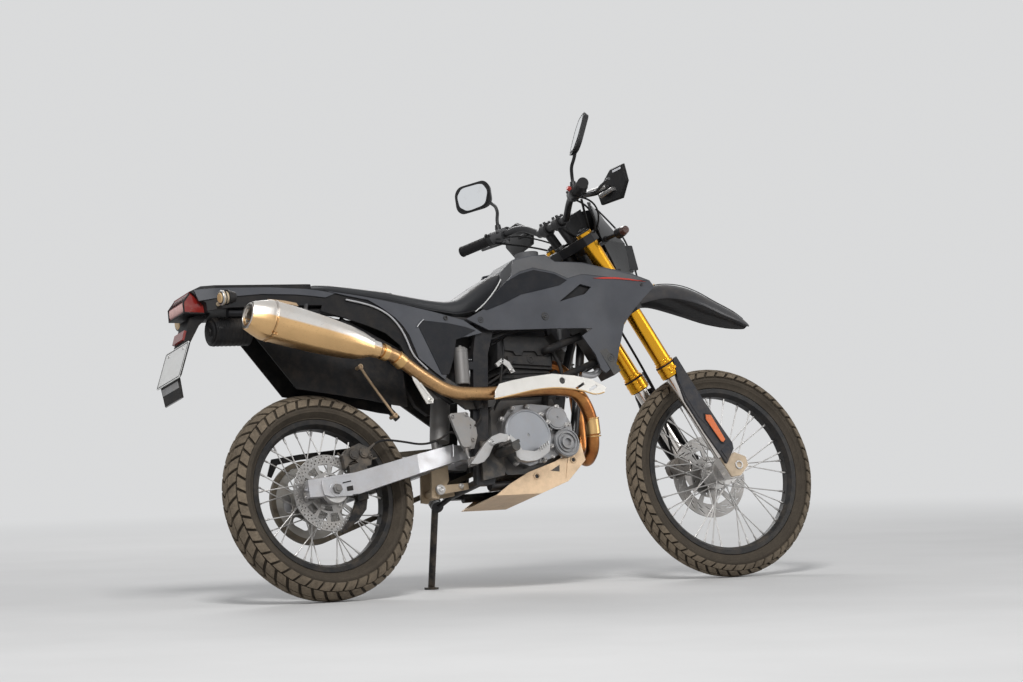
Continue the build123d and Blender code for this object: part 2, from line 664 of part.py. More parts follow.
chain_guard = joined(slab([(-122, 418), (-100, 470), (0, 482), (330, 508), (330, 490), (0, 465), (-82, 452),
                           (-108, 412)], 83, 87),
                     slab([(236, 404), (292, 414), (292, 500), (236, 496)], 83, arm_inner - seat_gap))
disc_guard = joined(slab(at_rear_axle([(14, 196), (30, 200), (82, 232), (116, 266), (126, 302), (122, 330),
                                       (80, 330), (84, 290), (60, 250)]), -78, -74),
                    slab(at_rear_axle([(84, 290), (122, 296), (122, 330), (84, 330)]), seat_gap - arm_inner, -74))
link_top = [(388, 385), (420, 393), (450, 400.5)]      # under the swingarm's bridge
linkage = joined(both(slab([(376, 300), (400, 296), (446, 352)]
                           + [(x, z - seat_gap) for x, z in reversed(link_top)], 30, 38)).part,
                 both(slab([(392, 312), (412, 308), (506.6, 320), (506.6, 340), (412, 336), (392, 332)],
                           42, 50)).part,
                 rod((401, -56, 322), (401, 56, 322), 24))

# ---- controls for the feet ----------------------------------------------------------
peg_plate_outer = 122.0
pedal_outline = [(457, 374), (521, 441), (548, 461), (580, 470), (616, 459), (617, 437), (581, 439),
                 (550, 434), (525, 388), (480, 374)]
pedal_link = [(608, 441), (614, 462), (636, 440), (648, 404), (626, 396)]
pedal_tip = [(622, 408), (688, 400), (739, 428), (742, 402), (690, 374), (642, 375), (624, 392)]
foot_controls = joined(slab(pedal_outline, -164, -150), slab(pedal_link, -172, -158),
                       slab(pedal_tip, -178, -162),
                       rod((545, -peg_plate_outer - seat_gap, 440), (545, -152, 440), 24),
                       slab([(436, 545), (500, 540), (524, 520), (524, 470), (506, 430), (462, 424)],
                            -134, -frame_outer - seat_gap),
                       bent([(700, 104.3, 428), (700, 138, 428), (740, 158, 430), (836, 166, 436)], 13),
                       rod((832, 166, 436), (832, 200, 436), 14))
peg_bracket = slab([(520, 330), (600, 344), (616, 420), (590, 452), (530, 456)],
                   -peg_plate_outer, -frame_outer - seat_gap)
rider_peg = rod((588, -peg_plate_outer, 412), (600, -216, 416), 32)
passenger_bracket = slab([(340, 705), (364, 722), (548, 592), (540, 560), (500, 560), (380, 650),
                          (350, 646), (330, 672)],
                         -frame_outer - 8, -frame_outer - seat_gap)
passenger_boss = rod((404, -100, 685), (404, -frame_outer - 1, 685), 16)
passenger_peg = rod((332, -124, 660), (392, -128, 594), 22)
footpegs = both(peg_bracket, rider_peg, passenger_bracket, passenger_boss, passenger_peg)
skid_outline = [(562, 282), (728, 282), (836, 318), (912, 384), (904, 440), (852, 408),
                (800, 384), (693, 352), (621, 318)]
skid_inside = [(530, 287), (727, 287), (833, 322.5), (905, 385), (960, 433), (960, 500), (530, 500)]
with BuildPart() as skid_plate:
    add(slab(skid_outline, -112, 112))
    add(slab(skid_inside, -107, 107), mode=Mode.SUBTRACT)
    for side in (-1, 1):
        add(rod((640, side * 79, 284), (640, side * 79, 306), 24))

# ---- fork, handlebar and what turns with them ---------------------------------------
def leg_rod(low, high, diameter, side=leg_half_spacing, ahead=leg_ahead):
    """A round piece of a fork leg between two distances up the steering axis."""
    return rod(on_fork(ahead, side, low), on_fork(ahead, side, high), diameter)


def clamp(along, plates):
    """A yoke that holds both legs and the steering stem."""
    half = leg_half_spacing + outer_tube / 2 + 10
    with BuildPart() as piece:
        with BuildSketch(Plane(origin=on_fork(0, 0, along - clamp_height / 2), x_dir=fork_ahead,
                               z_dir=fork_up)):
            with BuildLine():
                Polyline((-34, -30), (-34, 30), (leg_ahead - 30, half - 8), (leg_ahead, half),
                         (leg_ahead + 30, half - 16), (leg_ahead + 30, half - 40), (plates, 30),
                         (plates, -30), (leg_ahead + 30, 40 - half), (leg_ahead + 30, 16 - half),
                         (leg_ahead, -half), (leg_ahead - 30, 8 - half), close=True)
            make_face()
            for side in (-1, 1):
                with Locations((leg_ahead, side * leg_half_spacing)):
                    Circle(outer_tube / 2 + running_gap, mode=Mode.SUBTRACT)
        extrude(amount=clamp_height)
    return piece.part


handlebar_x = front_axle.X - bar_behind
bar_foot = on_fork(20, 0, upper_clamp_at + clamp_height / 2)
with BuildPart() as fork_clamps:
    add(clamp(lower_clamp_at, 40))
    add(clamp(upper_clamp_at, 34))
    add(rod(on_fork(0, 0, lower_clamp_at), on_fork(0, 0, upper_clamp_at), stem))
    for side in (-1, 1):
        add(rod((bar_foot.X + 8, side * 42, bar_foot.Z - 8), (handlebar_x, side * 42, handlebar_z - 6), 30))
    for side in (-1, 1):
        add(rod((handlebar_x, side * 42 - 16, handlebar_z), (handlebar_x, side * 42 + 16, handlebar_z), 44))
    add(rod((handlebar_x, -70, handlebar_z), (handlebar_x, 70, handlebar_z), 28.6 + 2 * running_gap),
        mode=Mode.SUBTRACT)
fork_tubes = both(leg_rod(collar_foot + collar_height, tube_top, outer_tube),
                  leg_rod(collar_foot, collar_foot + collar_height, collar))
lug_outline = [(14, 336), (50, 322), (98, 338), (106, 366), (76, 402), (14, 412)]
lug_outer = leg_half_spacing + 16
lug_inner = leg_half_spacing - 22
left_lug = fork_slab(lug_outline, lug_inner, lug_outer)
with BuildPart() as fork_sliders:
    add(leg_rod(400, collar_foot - seat_gap, inner_tube))
    add(left_lug)
    mirror(about=Plane.XZ)
    add(rod(front_axle - Vector(0, lug_outer, 0), front_axle + Vector(0, lug_outer, 0), axle_diameter))
    add(rod(front_axle - Vector(0, lug_outer, 0), front_axle + Vector(0, lug_outer, 0), front_axle_bore),
        mode=Mode.SUBTRACT)
guard_inner = leg_half_spacing - 24
guard_outer = leg_half_spacing + 34
leg_room = inner_tube / 2 + 2
guard_outline = [(18, 385), (15, 440), (10, 510), (9, 630), (30, 712), (56, 765), (70, 765), (70, 600),
                 (74, 500), (78, 430), (70, 412)]
with BuildPart() as fork_guards:
    add(fork_slab(guard_outline, guard_inner, guard_outer))
    add(fork_slab([(-40, 300), (leg_ahead + leg_room, 300), (leg_ahead + leg_room, 800), (-40, 800)],
                  guard_inner - 1, leg_half_spacing + leg_room), mode=Mode.SUBTRACT)
    add(leg_rod(collar_foot - 12, collar_foot + 80, collar + 4), mode=Mode.SUBTRACT)
    add(fork_slab([(20, 387), (20, 399), (42, 399), (42, 397)], lug_outer + seat_gap, guard_outer - 2))
    mirror(about=Plane.XZ)

# columns: distance behind the front axle, height of the crest and of the edges, half width
fender_sections = [(247, 955, 905, 42), (190, 973, 917, 50), (140, 981, 922, 64), (57, 972, 905, 77),
                   (-58, 918, 862, 66), (-143, 878, 838, 46), (-196, 841, 829, 18)]
fender_wall = 4.0


def fender_form(wall):
    """The fender's outer form, or what is under its skin when wall is above zero."""
    with BuildPart() as piece:
        for back, crest, edge, half in fender_sections:
            foot = edge - wall
            shoulder = crest - 0.22 * (crest - edge) - wall
            with BuildSketch(Plane(origin=(front_axle.X - back, 0, 0), x_dir=(0, 1, 0), z_dir=(1, 0, 0))):
                with BuildLine():
                    Polyline((wall - half, foot), (wall - 0.82 * half, shoulder), (-0.34 * half, crest - wall),
                             (0.34 * half, crest - wall), (0.82 * half - wall, shoulder), (half - wall, foot),
                             close=True)
                make_face()
        loft(ruled=True)
    return piece.part


pad_top = lower_clamp_at - clamp_height / 2 - seat_gap
with BuildPart() as front_fender:
    add(fender_form(0))
    add(fender_form(fender_wall), mode=Mode.SUBTRACT)
    add(fork_slab([(-10, pad_top - 7), (-10, pad_top), (66, pad_top), (141, 1002), (150, 996), (70, 946),
                   (60, pad_top - 7)], -40, 40))

bar_points = [(handlebar_x, 0, handlebar_z), (handlebar_x, 90, handlebar_z),
              (handlebar_x - 22, 168, handlebar_z + 44), (handlebar_x - bar_sweep, bar_end_y, bar_end_z)]
handlebar_tube = both(bent(bar_points[1:], handlebar, 0.4), rod(bar_points[0], bar_points[1], 28.6))
bar_run = (Vector(*bar_points[3]) - Vector(*bar_points[2])).normalized()
bar_end = Vector(*bar_points[3])
left_grip = rod(bar_end - bar_run * grip_length, bar_end + bar_run * 6, grip, handlebar + 2 * running_gap)
grips = both(left_grip)
perch = bar_end - bar_run * (grip_length + 40)
perch_bore = rod(perch - bar_run * 40, perch + bar_run * 40, handlebar + 2 * running_gap)
left_perch = (rod(perch - bar_run * 26, perch + bar_run * 34, 44)
              + rod(perch, perch + Vector(0, 0, 30), 20)) - perch_bore
lever_start = perch + Vector(24, 4, -6)
left_lever = bent([lever_start, lever_start + Vector(34, 30, 0), lever_start + Vector(12, 110, 2),
                   lever_start + Vector(4, 170, 6)], 10)
control_levers = both(left_perch, left_lever)
# columns: side, heads' middle from the perch, long way of the glass, way it faces, stalk
mirror_table = [
    (1, Vector(-4, 131, 171), Vector(0.469, -0.883, 0), Vector(-0.883, -0.469, 0),
     [(0, 0, 30), (0, 0, 56), (10, 6, 84), (22, 34, 112), (29, 88, 144)]),
    (-1, Vector(16, -44, 186), Vector(0.42, 0, 0.907), Vector(-0.881, 0.25, 0.408),
     [(0, 0, 30), (0, 0, 56), (-6, -14, 84), (-3, -36, 108), (1, -46, 134)])]


def mirror_with_stalk(side, middle, long_way, facing, stalk):
    """One mirror: a stalk from the perch and a rounded head that tapers to its back."""
    foot = Vector(perch.X, side * perch.Y, perch.Z)
    with BuildPart() as piece:
        with BuildSketch(Plane(origin=foot + middle, x_dir=long_way, z_dir=-facing)):
            RectangleRounded(142, 96, 34)
        extrude(amount=16, taper=20)
        add(bent([foot + Vector(*point) for point in stalk], 11, 0.4))
    return piece.part


with BuildPart() as mirrors:
    for side, middle, long_way, facing, stalk in mirror_table:
        add(mirror_with_stalk(side, middle, long_way, facing, stalk))
guard_middle = from_front([(434, 300, 1240)])[0]
hand_guard_outline = [(222, 1240), (321, 1289), (400, 1285), (411, 1226), (366, 1181), (237, 1193)]
with BuildPart() as hand_guard:
    with BuildSketch(Plane(origin=(guard_middle[0], 0, 0), x_dir=(0, 1, 0), z_dir=(1, 0, 0))):
        with BuildLine():
            Polyline(*hand_guard_outline, close=True)
        make_face()
    extrude(amount=5)
guard_strut = bent([perch + Vector(31.5, -44, 2), perch + Vector(60, -46, 4),
                    Vector(guard_middle[0] - 6 - seat_gap, perch.Y - 20, perch.Z + 6),
                    Vector(guard_middle[0] - 6 - seat_gap, perch.Y + 50, perch.Z + 8)], 12)
hand_guards = both(hand_guard.part, guard_strut)

# columns: height, back and front edge behind the front axle, half width behind and in front
cowl_sections = [(992, 322, 206, 92, 40), (1112, 378, 224, 112, 60), (1246, 394, 318, 88, 44)]


def cowl_solid(wall):
    """The cowl's outer form, or its hollow when wall is above zero."""
    with BuildPart() as piece:
        for height, back_behind, front_behind, half_back, half_front in cowl_sections:
            back = front_axle.X - back_behind
            front = front_axle.X - front_behind
            with BuildSketch(Plane.XY.offset(height)):
                with BuildLine():
                    Polyline((back - wall, half_back - wall), (front - 40 - wall, half_front - wall / 2),
                             (front - wall, 0), (front - 40 - wall, -half_front + wall / 2),
                             (back - wall, -half_back + wall), close=True)
                make_face()
        loft(ruled=True)
    return piece.part


lamp_outline_ahead = [(285, 1030), (285, 1104), (228, 1104), (218, 1030)]
headlight = joined(slab(from_front(lamp_outline_ahead), -40, 40))
tube_front = leg_ahead + outer_tube / 2 + seat_gap
with BuildPart() as headlight_cowl:
    add(cowl_solid(0))
    add(cowl_solid(5), mode=Mode.SUBTRACT)
    add(slab(from_front([(300, 1029.7), (300, 1104.3), (190, 1104.3), (190, 1029.7)]), -40.3, 40.3),
        mode=Mode.SUBTRACT)
    for side in (-1, 1):
        add(rod(on_fork(tube_front, side * 104, 1200), on_fork(90, side * 104, 1200), 14))
        add(rod(on_fork(tube_front, side * 92, 1095), on_fork(90, side * 92, 1095), 14))
meter = joined(fork_slab([(0, 1252.3), (95, 1252.3), (95, 1259), (0, 1259)], -18, 18),
               fork_slab([(78, 1258), (100, 1258), (112, 1330), (90, 1330)], -52, 52))
reflector_outline = [(42, 562), (62, 549), (59, 450), (45, 445), (38, 452), (33, 545)]
front_indicators = both(rod((front_axle.X - 362, 108.2, 1114), (front_axle.X - 360, 190, 1112), 14),
                        cone((front_axle.X - 360, 186, 1112), (front_axle.X - 356, 232, 1114), 36, 24),
                        fork_slab(reflector_outline, guard_outer + seat_gap, guard_outer + 4))
caliper_centre = front_axle + Vector(-114, front_disc_y, 36)
caliper_bridge = front_axle + Vector(-137.4, 0, 43.4)
front_caliper = joined(rod(caliper_centre + Vector(0, 4, 0), caliper_centre + Vector(0, 26, 0), 62),
                       rod(caliper_centre + Vector(0, -26, 0), caliper_centre + Vector(0, -4, 0), 62),
                       rod(caliper_bridge + Vector(0, 44, 0), caliper_bridge + Vector(0, 92, 0), 12),
                       fork_slab([(-20, 424), (leg_ahead - 21.5, 424), (leg_ahead - 21.5, 460), (-20, 460)],
                                 84, 94))
hose_side = leg_half_spacing - inner_tube / 2 - 16
hose_route = from_front([(480, -190, 1226), (438, -130, 1186), (390, -64, 1134), (358, -8, 1076),
                         (338, 40, 1006), (280, hose_side - 2, 900), (200, hose_side, 740),
                         (138, hose_side + 2, 600), (134, hose_side + 2, 520), (128, hose_side + 6, 462),
                         (114, hose_side + 18, 413.6)])
brake_hose = joined(bent(hose_route, 8))

# ---- side stand ---------------------------------------------------------------------
with BuildPart() as side_stand:
    add(rod(stand_pivot, foot_point, stand_leg))
    add(rod(stand_pivot - stand_axis * stand_hub_half, stand_pivot + stand_axis * stand_hub_half, stand_hub))
    with BuildSketch(floor_plane):
        with Locations(stand_foot):
            Circle(stand_pad / 2)
    extrude(amount=stand_pad_height)

# ---- the nodes, each with whether it turns with the handlebar -----------------------
nodes = [
    ("main_frame", main_frame, False), ("subframe", subframe, False),
    ("crankcase", crankcase, False), ("cylinder_head", cylinder_head, False),
    ("engine_covers", engine_covers, False), ("throttle_body", throttle_body, False),
    ("radiators", radiators, False), ("coolant_hoses", coolant_hoses, False),
    ("exhaust_pipe", exhaust_pipe, False), ("silencer", silencer, False),
    ("heat_shield", heat_shield, False), ("fuel_tank", fuel_tank, False),
    ("seat", seat, False), ("shrouds", shrouds, False), ("side_covers", side_covers, False),
    ("rear_fender", rear_fender, False), ("rear_lamps", rear_lamps, False),
    ("number_plate", number_plate, False), ("rear_indicators", rear_indicators, False),
    ("canister", canister, False), ("inner_fender", inner_fender, False),
    ("swingarm", swingarm, False), ("shock_absorber", shock_absorber, False),
    ("rear_caliper", rear_caliper, False), ("chain", chain, False), ("chain_guard", chain_guard, False),
    ("disc_guard", disc_guard, False), ("linkage", linkage, False),
    ("foot_controls", foot_controls, False), ("footpegs", footpegs, False),
    ("skid_plate", skid_plate, False),
    ("fork_clamps", fork_clamps, True), ("fork_tubes", fork_tubes, True),
    ("fork_sliders", fork_sliders, True), ("fork_guards", fork_guards, True),
    ("front_fender", front_fender, True), ("handlebar", handlebar_tube, True),
    ("grips", grips, True), ("control_levers", control_levers, True), ("mirrors", mirrors, True),
    ("hand_guards", hand_guards, True), ("headlight_cowl", headlight_cowl, True),
    ("headlight", headlight, True), ("meter", meter, True), ("front_indicators", front_indicators, True),
    ("front_caliper", front_caliper, True), ("brake_hose", brake_hose, True),
    ("front_tyre", front_tyre, True), ("front_rim", front_rim, True),
    ("front_hub", front_hub, True), ("front_disc", front_brake_disc, True),
    ("rear_tyre", rear_tyre, False), ("rear_rim", rear_rim, False),
    ("rear_hub", rear_hub, False), ("rear_disc", rear_brake_disc, False),
    ("rear_sprocket", rear_sprocket_ring, False), ("side_stand", side_stand, False),
]
for label, node, turns in nodes:
    place = parked * turned_bar if turns else parked
    node.part = place * node.part

# The origin is on the floor, under the middle of the whole bike.
extent = nodes[0][1].part.bounding_box()
for label, node, turns in nodes:
    extent = extent.add(node.part.bounding_box())
to_origin = Pos(-extent.center().X, -extent.center().Y, 0)
for label, node, turns in nodes:
    node.part = to_origin * node.part
    node.part.label = label
    export_step(node.part, f"parts/{label}.step")


def parked_point(place, point):
    """A point of the upright bike where it is once parked."""
    return (to_origin * place * Pos(*point)).position


def print_joint(name, place, point, direction):
    """Print a joint's point and axis in the parked frame."""
    at = parked_point(place, point)
    along = parked_point(place, Vector(*point) + Vector(*direction)) - at
    print("joint", name, *(round(v, 3) for v in at), *(round(v, 6) for v in along))


print_joint("steering", parked, on_fork(0, 0, lower_clamp_at), fork_up)
print_joint("front_wheel_spin", parked * turned_bar, front_axle, Vector(0, 1, 0))
print_joint("rear_wheel_spin", parked, rear_axle, Vector(0, 1, 0))
print_joint("side_stand_fold", parked, stand_pivot, stand_axis)
wheel_middle = parked_point(parked * turned_bar, front_axle)
wheel_axis = parked_point(parked * turned_bar, front_axle + Vector(0, 1, 0)) - wheel_middle
print("mount front_axle_bore", *wheel_middle, *wheel_axis, front_axle_bore / 2, 2 * lug_outer)
print("sweep of the side stand", round(stand_sweep, 2))
print("steering range", round(-steering_lock - steer_turn, 2), round(steering_lock - steer_turn, 2))
print("box", *(round(v, 2) for v in (*(to_origin * Pos(*extent.min)).position,
                                     *(to_origin * Pos(*extent.max)).position)))
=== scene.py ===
import bmesh
import bpy
import json
import math
import random
from mathutils import Matrix, Vector


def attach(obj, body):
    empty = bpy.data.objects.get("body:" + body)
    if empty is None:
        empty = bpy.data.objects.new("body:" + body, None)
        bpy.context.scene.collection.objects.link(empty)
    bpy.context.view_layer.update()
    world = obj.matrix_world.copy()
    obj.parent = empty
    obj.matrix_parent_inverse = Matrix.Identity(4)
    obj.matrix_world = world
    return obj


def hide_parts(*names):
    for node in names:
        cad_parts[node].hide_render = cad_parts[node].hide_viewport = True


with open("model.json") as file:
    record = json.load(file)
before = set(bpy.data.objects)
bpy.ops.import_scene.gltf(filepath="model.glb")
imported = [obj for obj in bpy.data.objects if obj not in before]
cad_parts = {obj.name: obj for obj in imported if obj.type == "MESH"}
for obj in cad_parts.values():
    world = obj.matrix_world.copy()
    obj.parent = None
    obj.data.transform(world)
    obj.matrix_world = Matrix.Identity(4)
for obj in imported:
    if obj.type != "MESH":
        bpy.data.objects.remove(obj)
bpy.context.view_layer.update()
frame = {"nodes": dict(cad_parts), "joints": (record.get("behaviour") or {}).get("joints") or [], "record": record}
nodes = frame["nodes"]
joints = {j["name"]: j for j in frame["joints"]}
scene = bpy.context.scene

# ---- the bike's own frames, from its joints -------------------------------------------
# Upright bike: x forward from the rear axle's foot, y to the left, z up, in millimetres.
# Fork: ahead of the steering axis, to the left, and up along the axis from the ground.
RAKE = math.radians(27.5)
WHEELBASE = 1490.0
TRAIL = 109.0
REAR_AXLE_Z = 324.0
FRONT_AXLE_Z = 346.0
LOWER_CLAMP_AT = 975.0
UPPER_CLAMP_AT = 1237.0
LEG_AHEAD, LEG_SIDE = 38, 103
BOTH = (-1, 1)                # right, left
RIGHT, LEFT = (0, -1, 0), (0, 1, 0)


def joint_place(name):
    """A joint's place in the world, in metres."""
    return Vector(joints[name]["pos_m"])


def joint_axis(name):
    """The way a joint's axis points."""
    return Vector(joints[name]["axis"]).normalized()


def basis(x, y, z, origin):
    """The matrix of a frame with these three axes and this origin."""
    m = Matrix((x, y, z)).transposed().to_4x4()
    m.translation = origin
    return m


fork_up_local = Vector((-math.sin(RAKE), 0, math.cos(RAKE)))
fork_ahead_local = Vector((math.cos(RAKE), 0, math.sin(RAKE)))
world_up_fork = joint_axis("steering")
world_y = joint_axis("rear_wheel_spin")
world_ahead_fork = world_y.cross(world_up_fork).normalized()
world_x = fork_ahead_local.x * world_ahead_fork + fork_up_local.x * world_up_fork
world_z = fork_ahead_local.z * world_ahead_fork + fork_up_local.z * world_up_fork
BIKE = basis(world_x, world_y, world_z, joint_place("rear_wheel_spin") - world_z * REAR_AXLE_Z / 1000)
turned_y = joint_axis("front_wheel_spin")
FORK = basis(turned_y.cross(world_up_fork), turned_y, world_up_fork,
             joint_place("steering") - world_up_fork * LOWER_CLAMP_AT / 1000)
steer_foot_local = Vector((WHEELBASE + TRAIL, 0, 0))
PLATE_LEAN = math.radians(24)
PLATE = basis(Vector((0, 1, 0)), Vector((math.sin(PLATE_LEAN), 0, math.cos(PLATE_LEAN))),
              Vector((-math.cos(PLATE_LEAN), 0, math.sin(PLATE_LEAN))), Vector((-433, 0, 754)))


def bike(x, y, z):
    """A world point from upright bike millimetres."""
    return BIKE @ Vector((x / 1000, y / 1000, z / 1000))


def fork(ahead, side, along):
    """A world point from the fork's millimetres, on the turned handlebar."""
    return FORK @ Vector((ahead / 1000, side / 1000, along / 1000))


def steered(x, y, z):
    """A world point of a piece that turns with the bar, from upright bike millimetres."""
    d = Vector((x - steer_foot_local.x, 0, z))
    return fork(d.dot(fork_ahead_local), y, d.dot(fork_up_local))


def on_plate(u, v, w):
    """A world point from the number plate's middle: to the left, up the plate and out of it."""
    return bike(*(PLATE @ Vector((u, v, w))))


BODY_OF = {bike: "frame", on_plate: "frame", fork: "steering", steered: "steering"}


# ---- materials ------------------------------------------------------------------------
DUST = (0.32, 0.245, 0.17)
SOFT_EDGE = 0.0015             # metres, the rounding that a surface shows at its edges


class Tree:
    """A material's nodes, made with one short call each."""

    def __init__(self, name, specular=0.5, metal=0.0):
        self.mat = bpy.data.materials.new(name)
        self.mat.use_nodes = True
        self.tree = self.mat.node_tree
        self.shader = self.tree.nodes["Principled BSDF"]
        self.where = self.node("ShaderNodeTexCoord").outputs["Object"]
        self.set("Specular IOR Level", specular)
        self.set("Metallic", metal)

    def node(self, kind, **values):
        n = self.tree.nodes.new(kind)
        for k, v in values.items():
            setattr(n, k, v)
        return n

    def put(self, socket, value):
        """A socket joined to another node's, or set; a colour gets its fourth number here."""
        if hasattr(value, "is_linked"):
            self.tree.links.new(value, socket)
        elif hasattr(socket.default_value, "__len__") and len(socket.default_value) == len(value) + 1:
            socket.default_value = (*value, 1)
        else:
            socket.default_value = value

    def set(self, key, value):
        self.put(self.shader.inputs[key], value)

    def noise(self, scale, detail=4.0, rough=0.55, stretch=None):
        n = self.node("ShaderNodeTexNoise")
        source = self.where
        if stretch:
            m = self.node("ShaderNodeMapping")
            m.inputs["Scale"].default_value = stretch
            self.put(m.inputs["Vector"], source)
            source = m.outputs[0]
        for key, value in (("Vector", source), ("Scale", scale), ("Detail", detail), ("Roughness", rough)):
            self.put(n.inputs[key], value)
        return n.outputs["Fac"]

    def ramp(self, value, low, high, a=0.0, b=1.0, interpolation="LINEAR"):
        n = self.node("ShaderNodeMapRange", interpolation_type=interpolation)
        for key, v in zip(("Value", "From Min", "From Max", "To Min", "To Max"), (value, low, high, a, b)):
            self.put(n.inputs[key], v)
        return n.outputs[0]

    def math(self, kind, a, b=0.0):
        n = self.node("ShaderNodeMath", operation=kind)
        self.put(n.inputs[0], a)
        self.put(n.inputs[1], b)
        return n.outputs[0]

    def along(self, direction, start=None):
        """How far a place lies along a direction, from a starting point."""
        place = self.where
        if start is not None:
            less = self.node("ShaderNodeVectorMath", operation="SUBTRACT")
            self.put(less.inputs[0], place)
            less.inputs[1].default_value = start
            place = less.outputs[0]
        n = self.node("ShaderNodeVectorMath", operation="DOT_PRODUCT")
        self.put(n.inputs[0], place)
        n.inputs[1].default_value = direction
        return n.outputs["Value"]

    def mix(self, share, a, b):
        n = self.node("ShaderNodeMix", data_type="RGBA")
        for socket, value in ((n.inputs["Factor"], share), (n.inputs[6], a), (n.inputs[7], b)):
            self.put(socket, value)
        return n.outputs[2]

    def up_part(self, vector):
        n = self.node("ShaderNodeSeparateXYZ")
        self.put(n.inputs[0], vector)
        return n.outputs[2]

    def upward(self):
        """How far a surface faces up."""
        return self.up_part(self.node("ShaderNodeNewGeometry").outputs["Normal"])

    def bump(self, value, strength, distance, edge=0.0):
        n = self.node("ShaderNodeBump")
        for key, v in (("Height", value), ("Strength", strength), ("Distance", distance)):
            self.put(n.inputs[key], v)
        if edge:
            b = self.node("ShaderNodeBevel", samples=4)
            b.inputs["Radius"].default_value = edge
            self.put(n.inputs["Normal"], b.outputs[0])
        self.set("Normal", n.outputs[0])


def surface(name, colour, rough=0.5, metal=0.0, spread=0.12, grain=0.15, grain_scale=900.0,
            dust=0.25, coat=0.0, stretch=None, scratch=0.0, specular=0.5, low_dust=0.5):
    """A painted, cast, moulded or ground surface with its grain, stains, dust and soft edges."""
    t = Tree(name, specular, metal)
    if coat:
        t.set("Coat Weight", coat)
        t.set("Coat Roughness", 0.08)
    broad = t.noise(9.0, 6.0, 0.6)
    fine = t.noise(grain_scale, 3.0, 0.6, stretch=stretch)
    dark = tuple(c * (1 - spread) for c in colour)
    pale = tuple(min(1.0, c * (1 + spread) + 0.02 * spread) for c in colour)
    paint = t.mix(t.ramp(broad, 0.3, 0.7), dark, pale)
    roughness = t.ramp(t.math("ADD", broad, t.math("MULTIPLY", fine, 0.5)), 0.4, 1.1,
                       max(0.05, rough - 0.1), min(1.0, rough + 0.12))
    if scratch:
        lines = t.noise(60.0, 8.0, 0.8, stretch=(1.0, 9.0, 14.0))
        mark = t.ramp(lines, 0.62, 0.68, 0.0, scratch)
        paint = t.mix(mark, paint, tuple(min(1.0, c * 1.6 + 0.1) for c in colour))
    if dust:
        near_ground = t.ramp(t.up_part(t.where), 0.15, 0.95, low_dust, 0.0)
        up = t.ramp(t.upward(), 0.2, 1.0, 0.0, 0.5)
        patch = t.ramp(t.noise(28.0, 8.0, 0.7), 0.42, 0.75)
        cover = t.math("MULTIPLY", t.math("ADD", near_ground, t.math("ADD", up, 0.12)), patch)
        cover = t.ramp(t.math("MULTIPLY", cover, dust * 2), 0.0, 1.0)
        paint = t.mix(cover, paint, DUST)
        roughness = t.math("ADD", roughness, t.math("MULTIPLY", cover, 0.4))
        if metal:
            t.set("Metallic", t.math("MULTIPLY", t.math("SUBTRACT", 1.0, cover), metal))
    t.set("Base Color", paint)
    t.set("Roughness", roughness)
    t.bump(fine, grain, 0.0006, SOFT_EDGE)
    return t.mat


def clear_surface(name, colour, rough=0.12, through=0.0):
    """A lamp's smooth glass or coloured plastic, with a little dirt on it."""
    t = Tree(name)
    for key, value in (("Transmission Weight", through), ("IOR", 1.49), ("Coat Weight", 0.6),
                       ("Coat Roughness", 0.05)):
        t.set(key, value)
    ribs = t.noise(140.0, 2.0, 0.5, stretch=(1.0, 1.0, 0.2))
    dirt = t.ramp(t.noise(45.0, 7.0, 0.7), 0.5, 0.8, 0.0, 0.25)
    t.set("Base Color", t.mix(dirt, colour, DUST))
    t.set("Roughness", t.ramp(ribs, 0.3, 0.8, rough, rough + 0.12))
    t.bump(ribs, 0.12, 0.0008, 0.001)
    return t.mat


def reflector(name, colour, grain=0.8, grain_scale=420, dust=0.1, rough=0.25):
    """A small coloured lens with the fine prisms of its back showing through."""
    return surface(name, colour, rough, grain=grain, grain_scale=grain_scale, dust=dust, coat=0.5)


def trim(name, pale, deep, patch, rough_low, rough_high):
    """The paint of a narrow stripe or edge, a little uneven."""
    t = Tree(name)
    t.set("Base Color", t.mix(t.ramp(t.noise(patch, 6.0), 0.4, 0.7), pale, deep))
    t.set("Roughness", t.ramp(t.noise(30.0), 0.3, 0.7, rough_low, rough_high))
    return t


def tyre_rubber(name):
    """Black rubber under brown dust, palest on the lugs' faces; the dark down in the grooves is painted shade."""
    t = Tree(name, specular=0.25)
    lug = t.node("ShaderNodeAttribute", attribute_name="lug").outputs["Fac"]
    patch = t.ramp(t.noise(14.0, 9.0, 0.72), 0.3, 0.66)
    fine = t.noise(420.0, 5.0, 0.7)
    speck = t.ramp(t.noise(150.0, 6.0, 0.75), 0.3, 0.7)
    # Lug tops take the whole dust pattern, grooves a quarter of it: real dust on the lugs, painted shade down in
    # the grooves, carried on through dusty.
    lug_dust_and_groove_shade = t.ramp(lug, 0.35, 0.98, 0.25, 1.0)
    dusty = t.math("MULTIPLY", t.math("ADD", t.math("MULTIPLY", patch, 0.55), 0.45),
                   t.math("MULTIPLY", lug_dust_and_groove_shade, t.math("ADD", t.math("MULTIPLY", speck, 0.5), 0.5)))
    t.set("Base Color", t.mix(t.ramp(dusty, 0.0, 0.85), (0.022, 0.018, 0.014), (0.235, 0.188, 0.135)))
    t.set("Roughness", t.ramp(dusty, 0.0, 1.0, 0.78, 0.97))
    t.bump(fine, 0.5, 0.0012)
    return t.mat


